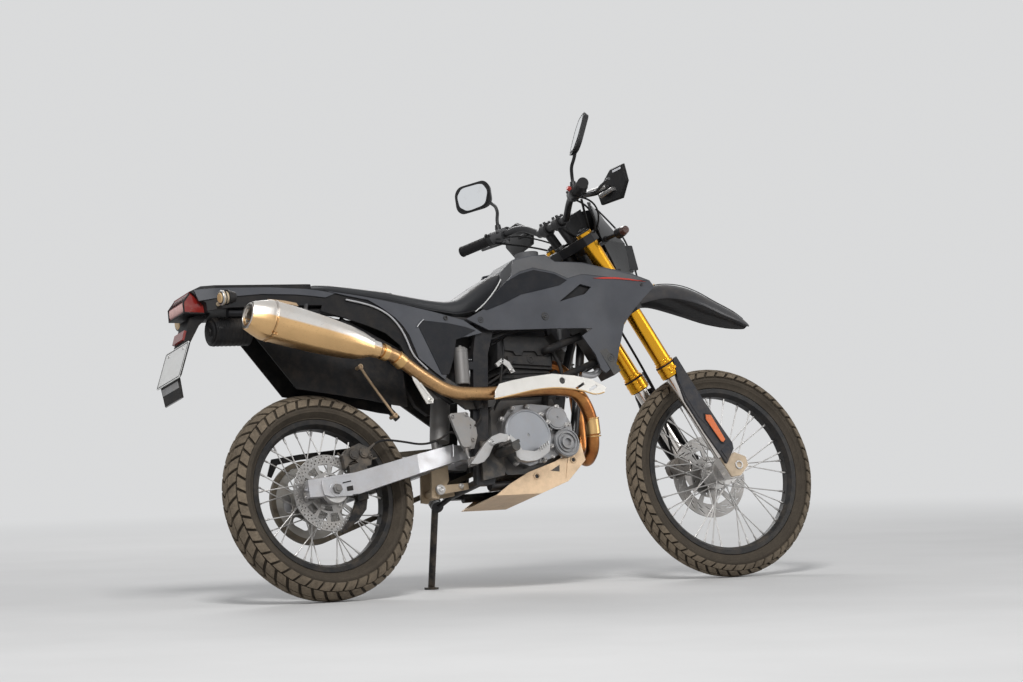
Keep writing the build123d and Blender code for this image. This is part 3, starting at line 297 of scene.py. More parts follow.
def seat_vinyl():
    """Black grained vinyl, a little dusty where it faces up."""
    t = Tree("seat_vinyl", specular=0.45)
    t.set("Sheen Weight", 0.08)
    pebble = t.node("ShaderNodeTexVoronoi", feature="DISTANCE_TO_EDGE")
    pebble.inputs["Scale"].default_value = 520.0
    t.put(pebble.inputs["Vector"], t.where)
    soft = t.noise(7.0, 5.0, 0.6)
    dusty = t.math("MULTIPLY", t.ramp(t.upward(), 0.55, 1.0, 0.0, 0.16),
                   t.ramp(t.noise(24.0, 8.0, 0.72), 0.42, 0.75))
    t.set("Base Color", t.mix(dusty, t.mix(soft, (0.010, 0.0105, 0.0125), (0.020, 0.021, 0.024)), DUST))
    t.set("Roughness", t.ramp(soft, 0.3, 0.7, 0.36, 0.5))
    t.bump(t.ramp(pebble.outputs["Distance"], 0.0, 0.35), 0.35, 0.0004)
    return t.mat


def mirror_glass():
    """Silvered glass with a little haze on it."""
    t = Tree("mirror_glass", metal=1.0)
    t.set("Base Color", t.mix(t.ramp(t.noise(40.0, 7.0, 0.7), 0.55, 0.8, 0.0, 0.35), (0.88, 0.9, 0.92),
                              (0.6, 0.58, 0.55)))
    t.set("Roughness", t.ramp(t.noise(20.0, 5.0), 0.3, 0.8, 0.03, 0.12))
    return t.mat


def reflection_painted_metal(name, top, low, split_low, split_high, rough):
    """Brushed steel whose colour changes round the silencer's line, from its top to its underside: the warm gold
    underside is a painted reflection of the lit ground.
    """
    t = Tree(name, metal=1.0)
    start = bike(*CAN_FRONT)
    along = (bike(*CAN_REAR) - start).normalized()
    # gold: the share of the painted ground reflection, one below the silencer's line and none above it
    gold = t.ramp(t.along((world_z - along * world_z.dot(along)).normalized(), start), split_high, split_low)
    streak = t.noise(90.0, 6.0, 0.65, stretch=(1.0, 7.0, 7.0))
    stain = t.ramp(t.noise(11.0, 7.0, 0.65), 0.4, 0.75)
    colour = t.mix(t.math("MULTIPLY", stain, 0.3), t.mix(gold, top, low), tuple(c * 0.62 for c in low))
    t.set("Base Color", t.mix(t.ramp(streak, 0.35, 0.7, 0.0, 0.18), colour, tuple(c * 0.8 for c in low)))
    t.set("Roughness", t.ramp(streak, 0.3, 0.75, rough - 0.05, rough + 0.1))
    t.bump(streak, 0.15, 0.0004, 0.001)
    return t.mat


def header_steel(name):
    """Heat-tinted steel: bronze down the front, gold behind, with dull stains."""
    t = Tree(name, metal=1.0)
    broad = t.noise(13.0, 6.0, 0.6)
    streak = t.noise(70.0, 6.0, 0.7)
    origin = bike(0, 0, 0).dot(world_x)
    bronze = t.ramp(t.along(world_x), origin + 0.5, origin + 0.9)
    colour = t.mix(bronze, t.mix(broad, (0.58, 0.36, 0.17), (0.46, 0.27, 0.13)),
                   t.mix(t.ramp(broad, 0.35, 0.65), (0.34, 0.115, 0.038), (0.52, 0.24, 0.075)))
    t.set("Base Color", t.mix(t.ramp(streak, 0.5, 0.8, 0.0, 0.5), colour, (0.13, 0.07, 0.045)))
    t.set("Roughness", t.ramp(streak, 0.3, 0.8, 0.24, 0.45))
    t.bump(streak, 0.2, 0.0005)
    return t.mat


CAN_FRONT = Vector((150, -192, 746))
CAN_REAR = Vector((-262, -195, 856))
MATERIALS = {"tyre_rubber": tyre_rubber("tyre_rubber"), "seat_cover": seat_vinyl()}
for slot, *look in (("red_lens", (0.2, 0.014, 0.011)), ("indicator_lens", (0.62, 0.5, 0.34)),
                    ("lamp_glass", (0.75, 0.77, 0.8), 0.06, 0.6), ("amber_lens", (0.72, 0.17, 0.02))):
    MATERIALS[slot] = clear_surface(slot, *look)


def finish(slot, *look, **more):
    """The surface of one of the record's material slots."""
    MATERIALS[slot] = surface(slot, *look, **more)


# slot, colour, roughness, metal
finish("frame_black", (0.012, 0.0125, 0.015), 0.36, specular=0.2, dust=0.12, coat=0.15)
finish("engine_alloy", (0.12, 0.118, 0.116), 0.5, 0.7, grain=0.5, grain_scale=1500, dust=0.3)
finish("engine_dark", (0.017, 0.017, 0.018), 0.5, 0.2, specular=0.3, grain=0.5, grain_scale=1400, dust=0.14)
finish("cover_silver", (0.27, 0.272, 0.28), 0.42, 0.85, grain=0.3, dust=0.25, scratch=0.2)
finish("black_plastic", (0.011, 0.011, 0.012), 0.46, specular=0.18, grain=0.3, grain_scale=1800, dust=0.12)
finish("radiator_alloy", (0.07, 0.07, 0.07), 0.5, 0.6, dust=0.2)
finish("black_rubber", (0.010, 0.010, 0.011), 0.58, specular=0.2, grain=0.3, dust=0.1)
finish("header_steel", (0.42, 0.25, 0.125), 0.34, 0.9, spread=0.3, dust=0.3, stretch=(1, 1, 6))
finish("silencer_steel", (0.66, 0.64, 0.60), 0.3, 1.0, spread=0.08, dust=0.15, stretch=(1, 8, 8))
finish("shield_alloy", (0.70, 0.68, 0.64), 0.36, 0.85, spread=0.05, dust=0.12, scratch=0.2)
finish("tank_plastic", (0.095, 0.096, 0.10), 0.5, specular=0.3, grain=0.7, grain_scale=1500, dust=0.08)
finish("grey_plastic", (0.058, 0.061, 0.070), 0.36, specular=0.3, grain=0.1, dust=0.06, scratch=0.12,
       coat=0.25)
finish("dark_plastic", (0.014, 0.015, 0.018), 0.42, specular=0.15, grain=0.3, grain_scale=1700, dust=0.06)
finish("plate_white", (0.78, 0.78, 0.76), 0.45, spread=0.04, dust=0.12)
finish("swingarm_alloy", (0.50, 0.50, 0.515), 0.34, 0.9, spread=0.06, dust=0.25, grain=0.2, stretch=(1, 6, 6),
       scratch=0.25)
finish("shock_steel", (0.19, 0.185, 0.18), 0.55, 0.6, dust=0.2)
finish("brake_alloy", (0.13, 0.12, 0.11), 0.5, 0.6, grain=0.5, dust=0.35)
finish("chain_steel", (0.10, 0.085, 0.065), 0.45, 0.85, dust=0.2)
finish("pedal_alloy", (0.46, 0.455, 0.45), 0.38, 0.85, dust=0.25, scratch=0.3)
finish("peg_steel", (0.05, 0.05, 0.05), 0.5, 0.6, dust=0.3)
finish("skid_alloy", (0.68, 0.50, 0.33), 0.42, 0.75, spread=0.08, dust=0.35, grain=0.3, stretch=(1, 8, 8),
       scratch=0.3)
finish("clamp_black", (0.028, 0.028, 0.03), 0.4, 0.4, specular=0.3, dust=0.15)
finish("gold_anodised", (0.80, 0.40, 0.03), 0.24, 1.0, spread=0.03, dust=0.0)
finish("slider_chrome", (0.82, 0.78, 0.74), 0.1, 1.0, spread=0.03, dust=0.1, grain=0.03)
finish("guard_plastic", (0.026, 0.028, 0.034), 0.42, specular=0.25, grain=0.25, dust=0.2, scratch=0.15)
finish("fender_plastic", (0.034, 0.034, 0.037), 0.34, specular=0.25, grain=0.15, dust=0.14, coat=0.2)
finish("bar_alloy", (0.05, 0.05, 0.052), 0.36, 0.8, specular=0.4, dust=0.06)
finish("lever_alloy", (0.08, 0.08, 0.083), 0.38, 0.7, dust=0.08)
finish("mirror_shell", (0.010, 0.010, 0.011), 0.38, specular=0.3, dust=0.05)
finish("meter_black", (0.012, 0.012, 0.013), 0.35, specular=0.25, dust=0.05)
finish("guard_black", (0.011, 0.011, 0.012), 0.42, specular=0.2, dust=0.08, scratch=0.15)
finish("cowl_black", (0.010, 0.0105, 0.012), 0.3, specular=0.3, dust=0.05, coat=0.3)
finish("rim_black", (0.009, 0.009, 0.0095), 0.38, specular=0.3, dust=0.14, low_dust=0.3)
finish("hub_alloy", (0.52, 0.51, 0.50), 0.36, 0.9, dust=0.2)
finish("disc_steel", (0.34, 0.33, 0.32), 0.36, 0.95, dust=0.2)
finish("sprocket_steel", (0.3, 0.29, 0.27), 0.42, 0.85, dust=0.3)
finish("chain_guard_black", (0.010, 0.010, 0.011), 0.45, specular=0.2, dust=0.12)
finish("disc_guard_black", (0.010, 0.010, 0.011), 0.45, specular=0.2, dust=0.2, scratch=0.2)
finish("linkage_alloy", (0.40, 0.31, 0.21), 0.5, 0.6, dust=0.5, grain=0.4)
finish("stand_steel", (0.016, 0.016, 0.017), 0.4, specular=0.3, dust=0.3, scratch=0.3)
HEADER = header_steel("header_tinted")
# the silencer's steel: pale on top, its underside painted gold as a painted reflection of the lit ground
CAN_STEEL = reflection_painted_metal("silencer_painted_reflection", (0.76, 0.75, 0.73), (0.78, 0.50, 0.24), -0.002, 0.004, 0.3)
GOLD_LIP = reflection_painted_metal("shield_lip", (0.8, 0.55, 0.28), (0.78, 0.52, 0.25), -0.01, 0.01, 0.35)
DUSTY_STEEL = surface("dusty_steel", (0.42, 0.30, 0.19), 0.45, 0.7, spread=0.1, dust=0.4)
RED_STRIPE = trim("red_stripe", (0.46, 0.035, 0.02), (0.36, 0.03, 0.02), 60.0, 0.35, 0.45)
RED_STRIPE.set("Coat Weight", 0.3)
for row in frame["record"]["subparts"]:
    mesh = nodes[row["node"]].data
    mesh.materials.clear()
    mesh.materials.append(HEADER if row["node"] == "exhaust_pipe" else MATERIALS[row["material_slot"]])


# ---- ways to make pieces --------------------------------------------------------------
def side_on(u, v, w):
    """An outline of (forward, up) points whose thickness runs to the left."""
    return u, w, v


def across(u, v, w):
    """An outline of (left, up) points whose thickness runs forward."""
    return w, u, v


def flat_on(u, v, w):
    """An outline already given in the frame's own first two directions."""
    return u, v, w


def mirrored(p, side):
    """A point of the left side, or the same place on the right."""
    return Vector((p[0], side * p[1], p[2]))


def pair(radius, points):
    """A tube's radius and points, on the right and on the left."""
    return [(radius, [mirrored(p, side) for p in points]) for side in BOTH]


class Form:
    """The vertices and faces of one piece, gathered in a local frame in millimetres."""

    def __init__(self, at=bike):
        self.at = at
        self.points = []
        self.faces = []

    def prism(self, outline, low, high, to=side_on):
        """A flat outline given a thickness; its two flat faces come first, as the bevel goes by the order."""
        start, count = len(self.points), len(outline)
        for w in (low, high):
            self.points += [self.at(*to(u, v, w)) for u, v in outline]
        near, far = range(start, start + count), range(start + count, start + 2 * count)
        self.faces += [list(reversed(near)), list(far)]
        for i in range(count):
            j = (i + 1) % count
            self.faces.append([near[i], near[j], far[j], far[i]])
        return self

    def plates(self, outline, face, thick):
        """The same flat plate on each side, from its inner face outwards."""
        for side in BOTH:
            self.prism(outline, *sorted((side * face, side * (face + thick))))
        return self

    def rows(self, rows, loop=False):
        """Rings of local points joined into a skin, closed by end caps or round to its start."""
        start = len(self.points)
        count = len(rows[0])
        for row in rows:
            self.points += [self.at(*p) for p in row]
        for r in range(len(rows) if loop else len(rows) - 1):
            first = start + r * count
            second = start + (r + 1) % len(rows) * count
            for i in range(count):
                j = (i + 1) % count
                self.faces.append([first + i, first + j, second + j, second + i])
        if not loop:
            last = start + (len(rows) - 1) * count
            self.faces.append([start + i for i in reversed(range(count))])
            self.faces.append([last + i for i in range(count)])
        return self

    def rod(self, start, end, radius, end_radius=None, sides=20, hollow=0.0):
        a, b = Vector(start), Vector(end)
        run = (b - a).normalized()
        side = run.orthogonal().normalized()
        other = run.cross(side)
        ways = [side * math.cos(t) + other * math.sin(t) for t in turns_of(sides)]
        rings = [(a, radius), (b, radius if end_radius is None else end_radius)]
        if hollow:
            rings += [(b, hollow), (a, hollow)]
        return self.rows([[c + way * r for way in ways] for c, r in rings], loop=bool(hollow))

    def rods(self, start, end, *sizes, **more):
        """The same rod on each side."""
        for side in BOTH:
            self.rod(mirrored(start, side), mirrored(end, side), *sizes, **more)
        return self

    def bolt(self, place, axis, radius, height):
        """A bolt's washer and its round head with a hollow."""
        p, n = Vector(place), Vector(axis).normalized()
        self.rod(p, p + n * height * 0.25, radius * 1.25, sides=18)
        return self.rod(p, p + n * height, radius, radius * 0.94, sides=16, hollow=radius * 0.5)

    def bolts(self, places, axis, radius, height):
        for place in places:
            self.bolt(place, axis, radius, height)
        return self

    def side_bolts(self, places, radius, height):
        """The same bolts on each side, facing outwards."""
        for side in BOTH:
            self.bolts([mirrored(place, side) for place in places], (0, side, 0), radius, height)
        return self

    def lathe(self, centre, profile, sides=96):
        """A closed profile of (side, radius) points turned about an axle that runs to the left."""
        c = Vector(centre)
        return self.rows([[c + Vector((r * math.cos(t), y, r * math.sin(t))) for y, r in profile]
                          for t in turns_of(sides)], loop=True)

    def make(self, name, slot, material=None, **more):
        mesh = bpy.data.meshes.new(name)
        mesh.from_pydata([tuple(p) for p in self.points], [], self.faces)
        work = bmesh.new()
        work.from_mesh(mesh)
        bmesh.ops.remove_doubles(work, verts=work.verts, dist=1e-6)
        bmesh.ops.recalc_face_normals(work, faces=work.faces)
        work.to_mesh(mesh)
        work.free()
        return dress(name, mesh, self.at, slot, material, **more)


def dress(name, mesh, at, slot, material=None, replaces=(), bevel=0.0, subdivide=0, segments=2, sharp=40.0,
          body=None):
    """A finished mesh made a piece: its material, which is the slot's unless one is given, its soft edges and its
    body.
    """
    obj = bpy.data.objects.new(name, mesh)
    scene.collection.objects.link(obj)
    mesh.materials.clear()
    mesh.materials.append(material or MATERIALS[slot])
    mesh.shade_smooth()
    if not subdivide:
        mesh.set_sharp_from_angle(angle=math.radians(sharp))
    if bevel:
        m = obj.modifiers.new("soft edges", "BEVEL")
        m.width = bevel / 1000
        m.segments = segments
        m.limit_method = "ANGLE"
        m.angle_limit = math.radians(35)
        m.harden_normals = True
    if subdivide:
        m = obj.modifiers.new("smooth form", "SUBSURF")
        m.levels = m.render_levels = subdivide
    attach(obj, body or BODY_OF[at])
    if replaces:
        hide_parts(*replaces)
    return obj


def curve_mesh(name, data):
    """The mesh of a curve, which is then thrown away."""
    holder = bpy.data.objects.new(name + "_curve", data)
    scene.collection.objects.link(holder)
    bpy.context.view_layer.update()
    mesh = bpy.data.meshes.new_from_object(holder.evaluated_get(bpy.context.evaluated_depsgraph_get()))
    bpy.data.objects.remove(holder)
    mesh.name = name
    return mesh


def tubes(name, slot, lines, at=bike, material=None):
    """Bent round tubes as one piece; each line is its radius and the points that steer it."""
    data = bpy.data.curves.new(name + "_route", "CURVE")
    data.dimensions = "3D"
    data.bevel_depth = 0.001
    data.bevel_resolution = 5
    data.resolution_u = 10
    data.use_fill_caps = True
    for radius, points in lines:
        spline = data.splines.new("NURBS")
        spline.points.add(len(points) - 1)
        for spot, p in zip(spline.points, points):
            spot.co = (*at(*p), 1.0)
            spot.radius = radius
        spline.order_u = 3
        spline.use_endpoint_u = True
    return dress(name, curve_mesh(name, data), at, slot, material, sharp=60.0)


def cut_sheet(name, slot, loops, low, high, at=bike, to=side_on, edge=0.3, **more):
    """A flat plate between two sides, with the first loop as its outline and holes inside it."""
    data = bpy.data.curves.new(name + "_flat", "CURVE")
    data.dimensions = "2D"
    data.fill_mode = "BOTH"
    data.extrude = (high - low) / 2000 - edge / 1000
    data.bevel_depth = edge / 1000
    data.bevel_resolution = 1
    for loop in loops:
        spline = data.splines.new("POLY")
        spline.points.add(len(loop) - 1)
        for spot, p in zip(spline.points, loop):
            spot.co = (p[0] / 1000, p[1] / 1000, 0.0, 1.0)
        spline.use_cyclic_u = True
    mesh = curve_mesh(name, data)
    for v in mesh.vertices:
        v.co = at(*to(v.co.x * 1000, v.co.y * 1000, (low + high) / 2 + v.co.z * 1000))
    return dress(name, mesh, at, slot, **more)


def polar(cx, cz, radius, angle):
    """The point of a circle at an angle, in radians."""
    return cx + radius * math.cos(angle), cz + radius * math.sin(angle)


def turns_of(count, start=0.0):
    """Equal steps round a whole turn, in radians."""
    return [start + 2 * math.pi * k / count for k in range(count)]


def ring_points(cx, cz, radius, count):
    """A round outline."""
    return [polar(cx, cz, radius, t) for t in turns_of(count)]


def between(table, x):
    """A value read off a table of (place, value) pairs."""
    if x <= table[0][0]:
        return table[0][1]
    for (a, p), (b, q) in zip(table, table[1:]):
        if x <= b:
            return p + (q - p) * (x - a) / (b - a)
    return table[-1][1]


# ---- wheels ---------------------------------------------------------------------------
REAR = {"at": bike, "body": "rear_wheel", "axle": Vector((0, 0, REAR_AXLE_Z)), "radius": 324.0, "half": 60.0,
        "crown": 62.0, "flange": 240.0, "rim_half": 33.0, "pitches": 44, "hub": 62.0, "spoke_y": 34.0}
FRONT = {"at": steered, "body": "front_wheel", "axle": Vector((WHEELBASE, 0, FRONT_AXLE_Z)), "radius": 346.0,
         "half": 42.0, "crown": 44.0, "flange": 277.0, "rim_half": 26.0, "pitches": 52, "hub": 48.0,
         "spoke_y": 32.0}
LUG_DEPTH = 9.0
LUG_ACROSS, LUG_ALONG = 4, 2
# Each row of lugs: its inner and outer angle as shares of the tread's edge, then its offset round
# the tyre, length, slant and bend in pitches.
LUG_ROWS = [(-0.2, 0.2, 0.0, 0.70, 0.0, 0.45), (0.25, 0.60, 0.45, 0.74, 0.42, 0.0),
            (-0.60, -0.25, 0.45, 0.74, -0.42, 0.0), (0.655, 0.985, 0.05, 0.76, -0.34, 0.0),
            (-0.985, -0.655, 0.05, 0.76, 0.34, 0.0)]


def tyre(name, w, replaced, seed):
    """A dusty block-tread tyre: its ribbed carcass and five staggered rows of slanted lugs."""
    draw = random.Random(seed)
    form = Form(w["at"])
    centre, crown = w["axle"], w["crown"]
    ring = w["radius"] - crown
    edge = math.asin(w["half"] / crown)

    def on_tread(turn, angle, depth):
        r = ring + (crown - depth) * math.cos(angle)
        return centre + Vector((r * math.sin(turn), (crown - depth) * math.sin(angle), r * math.cos(turn)))

    base = crown - LUG_DEPTH
    tread = [(base * math.sin(a), ring + base * math.cos(a)) for a in (edge * (k / 8 - 1) for k in range(17))]
    y, r = tread[-1]
    bead = w["rim_half"] - 3.8
    drop = r - w["flange"] - 2
    wall = [(y + 1.6, r - 0.10 * drop), (y + 1.7, r - 0.26 * drop), (y + 0.9, r - 0.28 * drop),
            (y, r - 0.46 * drop), (y - 0.9, r - 0.48 * drop), (bead + 0.55 * (y - bead), r - 0.74 * drop),
            (bead + 4.6, w["flange"] + 5.0), (bead + 4.2, w["flange"] + 2.2), (bead, w["flange"] + 1.6),
            (bead, w["flange"] - 8.5)]
    form.lathe(centre, tread + wall + [(-y, r) for y, r in reversed(wall)], 132)
    pitch = 2 * math.pi / w["pitches"]
    wide = LUG_ALONG + 1
    top = (LUG_ACROSS + 1) * wide
    rim = [i * wide for i in range(LUG_ACROSS)]
    rim += [LUG_ACROSS * wide + k for k in range(LUG_ALONG)]
    rim += [i * wide + LUG_ALONG for i in range(LUG_ACROSS, 0, -1)]
    rim += list(range(LUG_ALONG, 0, -1))
    for number in range(w["pitches"]):
        for low, high, offset, length, slant, vee in LUG_ROWS:
            lift = draw.uniform(-0.1, 0.5)
            middle = (number + offset) * pitch
            start = len(form.points)
            for depth, grow in ((LUG_DEPTH + 1.5, 1.14), (lift + 0.25, 1.0)):
                for s in (i / LUG_ACROSS for i in range(LUG_ACROSS + 1)):
                    angle = (low + ((s - 0.5) * grow + 0.5) * (high - low)) * edge
                    bend = slant * (s - 0.5) + vee * (abs(2 * s - 1) - 0.5)
                    for t in ((k / LUG_ALONG - 0.5) * length * grow for k in range(LUG_ALONG + 1)):
                        form.points.append(w["at"](*on_tread(middle + (bend + t) * pitch, angle, depth)))
            for a in (start + i * wide + k for i in range(LUG_ACROSS) for k in range(LUG_ALONG)):
                form.faces.append([a, a + 1, a + wide + 1, a + wide])
                form.faces.append([top + a + wide, top + a + wide + 1, top + a + 1, top + a])
            for a, b in zip(rim, rim[1:] + rim[:1]):
                form.faces.append([start + a, start + b, top + start + b, top + start + a])
    obj = form.make(name, "tyre_rubber", replaces=(replaced,), bevel=1.0, segments=1, sharp=32,
                    body=w["body"])
    place = w["at"](*centre)
    axis = (w["at"](*(centre + Vector((0, 1, 0)))) - place).normalized()
    share = obj.data.attributes.new("lug", "FLOAT", "POINT")
    for v in obj.data.vertices:
        d = v.co - place
        y = d.dot(axis)
        r = (d - axis * y).length
        below = crown - math.hypot(y * 1000, r * 1000 - ring)
        share.data[v.index].value = min(1.0, max(0.0, 1 - below / LUG_DEPTH))


def nipples(name, w):
    """The turned nut on each spoke's rim end, and each spoke's bent head on the hub."""
    form = Form(w["at"])
    for side in BOTH:
        for number in range(18):
            at_hub = math.radians(20 * (number + 0.25 * side))
            lead = 1 if number % 2 else -1
            x, z = polar(0, 0, w["hub"] - 5, at_hub)
            near = w["axle"] + Vector((x, side * (w["spoke_y"] + 2.2 * lead), z))
            x, z = polar(0, 0, w["flange"] - 27, at_hub + math.radians(lead * 38))
            far = w["axle"] + Vector((x, side * 6, z))
            back = (near - far).normalized()
            form.rod(far, far + back * 14, 3.6, 3.4, 10)
            form.rod(far + back * 14, far + back * 20, 3.4, 2.3, 10)
            form.rod(near, near + Vector((0, side * 6, 0)), 3.6, 2.6, 10)
    form.make(name, "hub_alloy", sharp=50, body=w["body"])


def window(cx, cz, inner, outer, middle, half, steps=6):
    """A hole through a disc between two radii, with its ends across the disc."""
    spread = [middle + half * (2 * k / steps - 1) for k in range(steps + 1)]
    return [polar(cx, cz, outer, t) for t in spread] + [polar(cx, cz, inner, t) for t in reversed(spread)]


def disc_loops(cx, cz, outer, inner, holes, windows, slots=()):
    """A brake disc's outline and its holes, windows and curved slots."""
    loops = [ring_points(cx, cz, outer, 120), ring_points(cx, cz, inner, 48)]
    for radius, count, size, start in holes:
        loops += [ring_points(*polar(cx, cz, radius, t), size, 8) for t in turns_of(count, start)]
    for low, high, count, half, start in windows:
        loops += [window(cx, cz, low, high, t, half) for t in turns_of(count, start)]
    for low, high, count, half, sweep, start in slots:
        for t in turns_of(count, start):
            line = [(low + (high - low) * s / 4, t + sweep * s / 4) for s in range(5)]
            loops.append([polar(cx, cz, r, a + half) for r, a in line]
                         + [polar(cx, cz, r, a - half) for r, a in reversed(line)])
    return loops


def around(cx, y, cz, radius, turns):
    """Places round a circle that faces sideways."""
    return [(x, y, z) for x, z in (polar(cx, cz, radius, t) for t in turns)]


def wheel_bolts(name, w, y, radius, count, out):
    """A ring of bolts on a wheel's right or left side."""
    places = around(w["axle"].x, y, w["axle"].z, radius, turns_of(count, 0.35))
    Form(w["at"]).bolts(places, out, 6, 5).make(name, "hub_alloy", bevel=0.4, body=w["body"])


tyre("rear_tyre_tread", REAR, "rear_tyre", 3)
tyre("front_tyre_tread", FRONT, "front_tyre", 5)
nipples("rear_spoke_nipples", REAR)
nipples("front_spoke_nipples", FRONT)
cut_sheet("rear_disc_drilled", "disc_steel",
          disc_loops(0, REAR_AXLE_Z, 120, 34.2,
                     [(114, 42, 3.1, 0), (106, 42, 3.1, math.pi / 42), (98, 42, 2.9, 0)],
                     [(64, 90, 12, 0.19, 0.1), (42, 57, 6, 0.3, 0.3)]),
          -68.25, -63.75, replaces=("rear_disc",), body="rear_wheel")
cut_sheet("front_disc_slotted", "disc_steel",
          disc_loops(WHEELBASE, FRONT_AXLE_Z, 135, 27.2, [(58, 6, 4, 0.2)], [(68, 92, 10, 0.22, 0.1)],
                     [(102, 112, 20, 0.034, 0.22, 0.0), (116, 127, 20, 0.03, 0.2, 0.12)]),
          65.75, 70.25, steered, replaces=("front_disc",), body="front_wheel")
wheel_bolts("rear_disc_bolts", REAR, -68.3, 49, 5, RIGHT)
wheel_bolts("front_disc_bolts", FRONT, 70.3, 45, 5, LEFT)
wheel_bolts("sprocket_bolts", REAR, 73.2, 46, 6, LEFT)
HUB_CAP = [(0, 20), (0, 40), (-4, 43), (-18, 43), (-22, 41), (-22, 20)]
hub_cap = Form().lathe((0, -92, REAR_AXLE_Z), HUB_CAP, 60)
hub_cap.make("rear_hub_cap", "hub_alloy", bevel=0.8, body="rear_wheel")


# ---- seat -----------------------------------------------------------------------------
# columns: forward, half width, top, foot of the side, crown
SEAT_ROWS = [(8, 60, 977, 961, 2), (22, 84, 985, 958, 4), (70, 104, 984, 951, 6), (140, 109, 976, 940, 7),
             (220, 113, 965, 925, 8), (290, 116, 956.5, 912, 8), (300, 116, 951.5, 910.5, 8),
             (310, 116, 950.5, 909, 8), (360, 113, 943, 899, 9), (420, 107, 935, 887, 10),
             (490, 98, 927, 879, 10), (530, 91, 930, 875, 9), (560, 86, 936, 877, 8), (600, 79, 957, 885, 8),
             (640, 73, 981, 893, 8), (675, 69.5, 999, 903, 7), (700, 68, 1011, 925, 6),
             (722, 67, 1016.5, 975, 5), (738, 66, 1020.5, 1012, 4)]
# columns: side as a share of the half width, drop below the top
CROSS_SEAM = [(-0.99, 24), (-0.93, 11), (-0.75, 5.5), (-0.42, 2.2), (0, 1.2), (0.42, 2.2), (0.75, 5.5),
              (0.93, 11), (0.99, 24)]


def seat_row(x, half, top, foot, crown):
    """A section of the seat: crowned top, rolled edge and a side that pulls in to its foot."""
    depth = top - foot
    left = [(0.0, top), (0.42 * half, top - 0.12 * crown), (0.74 * half, top - 0.5 * crown),
            (0.90 * half, top - crown - 0.04 * depth), (0.975 * half, top - crown - 0.16 * depth),
            (1.0 * half, top - crown - 0.36 * depth), (0.995 * half, foot + 0.36 * depth),
            (0.975 * half, foot + 0.12 * depth), (0.93 * half, foot), (0.5 * half, foot + 1)]
    return [(x, y, z) for y, z in left + [(-y, z) for y, z in reversed(left[1:])]]


seat_form = Form().rows([seat_row(*row) for row in SEAT_ROWS])
seat_piece = seat_form.make("seat_cushion", "seat_cover", replaces=("seat",), subdivide=2)
tubes("seat_lower_welt", "seat_cover",
      pair(1.7, [(x, half * 0.955 + 1.2, foot + 2.6) for x, half, top, foot, crown in SEAT_ROWS[2:-3]]))
tubes("seat_cross_welt", "seat_cover",
      [(2.0, [(300, share * 116, 953.0 - drop) for share, drop in CROSS_SEAM])])
tubes("seat_piping", "plate_white",
      pair(2.1, [(612, 79.5, 886), (640, 74.8, 903), (668, 72.4, 925), (694, 71.6, 950), (716, 71, 974),
                 (730, 69.6, 993)]))


# ---- bodywork skins -------------------------------------------------------------------
def cut_across(flat, place, normal):
    """A new line of edges where a plane crosses the flat shape."""
    bmesh.ops.bisect_plane(flat, geom=flat.verts[:] + flat.edges[:] + flat.faces[:], plane_co=place,
                           plane_no=normal)


def skin(name, slot, outline, depth, low, high, step=18.0, bevel=1.0, holes=(), **more):
    """A moulded panel: an outline of (forward, up) points bent to a depth at each place, on both sides."""
    work = bmesh.new()
    for side in BOTH:
        flat = bmesh.new()
        flat.faces.new([flat.verts.new((x, 0, z)) for x, z in outline])
        for values, normal in zip(zip(*outline), (Vector((1, 0, 0)), Vector((0, 0, 1)))):
            spot = min(values) + step
            while spot < max(values) - 1:
                cut_across(flat, normal * spot, normal)
                spot += step
        for hole in holes:
            lines = list(zip(hole, hole[1:] + hole[:1]))
            for (ax, az), (bx, bz) in lines:
                cut_across(flat, (ax, 0, az), (bz - az, 0, ax - bx))
            gone = []
            for f in flat.faces:
                c = f.calc_center_median()
                if all((bx - ax) * (c.z - az) - (bz - az) * (c.x - ax) > 0 for (ax, az), (bx, bz) in lines):
                    gone.append(f)
            bmesh.ops.delete(flat, geom=gone, context="FACES")
        made = bmesh.ops.extrude_face_region(flat, geom=flat.faces[:])
        raised = {v for v in made["geom"] if isinstance(v, bmesh.types.BMVert)}
        for v in flat.verts:
            x, z = v.co.x, v.co.z
            v.co = bike(x, side * (depth(x, z) + (high if v in raised else low)), z)
        mesh = bpy.data.meshes.new("part")
        bmesh.ops.recalc_face_normals(flat, faces=flat.faces)
        flat.to_mesh(mesh)
        flat.free()
        work.from_mesh(mesh)
        bpy.data.meshes.remove(mesh)
    whole = bpy.data.meshes.new(name)
    work.to_mesh(whole)
    work.free()
    return dress(name, whole, bike, slot, bevel=bevel, sharp=24, **more)


SHROUD_PLAN = [(540, 128), (700, 132), (850, 148), (944, 157), (1060, 157), (1244, 184)]
CREASE = [(420, 862), (511, 857), (618, 873), (921, 916), (1035, 948), (1110, 962), (1240, 952)]
SIDE_PLAN = [(50, 117), (330, 129), (600, 121)]
PANEL_RIDGE = [(17, 931), (128, 921), (215, 901), (270, 871), (301, 838), (319, 794), (334, 734), (376, 690)]
RIDGE_FOOT = [(650, 400), (734, 330), (838, 296)]


def shroud_depth(x, z):
    """The shroud's outer side: it leans in above the crease and rolls in near its lower edge."""
    above = max(0.0, z - between(CREASE, x))
    below = max(0.0, between(CREASE, x) - z)
    return between(SHROUD_PLAN, x) - 0.0009 * above * above - 0.10 * above - 0.03 * below


def side_depth(x, z):
    """The side panel's plain outer side; like the others, it is given the height as well."""
    return between(SIDE_PLAN, x)


def panel_depth(x, z):
    """The side panel's outer side: a raised ridge where its lighter upper skin ends."""
    d = between(PANEL_RIDGE, x) - z if x < 320 else (between(RIDGE_FOOT, z) - x) * -0.6
    return side_depth(x, z) - 0.02 * abs(d)


def tail_depth(x, z):
    """The tail's outer side, which narrows to the lamp."""
    return between([(-372, 59), (-300, 85), (0, 113), (100, 113)], x)


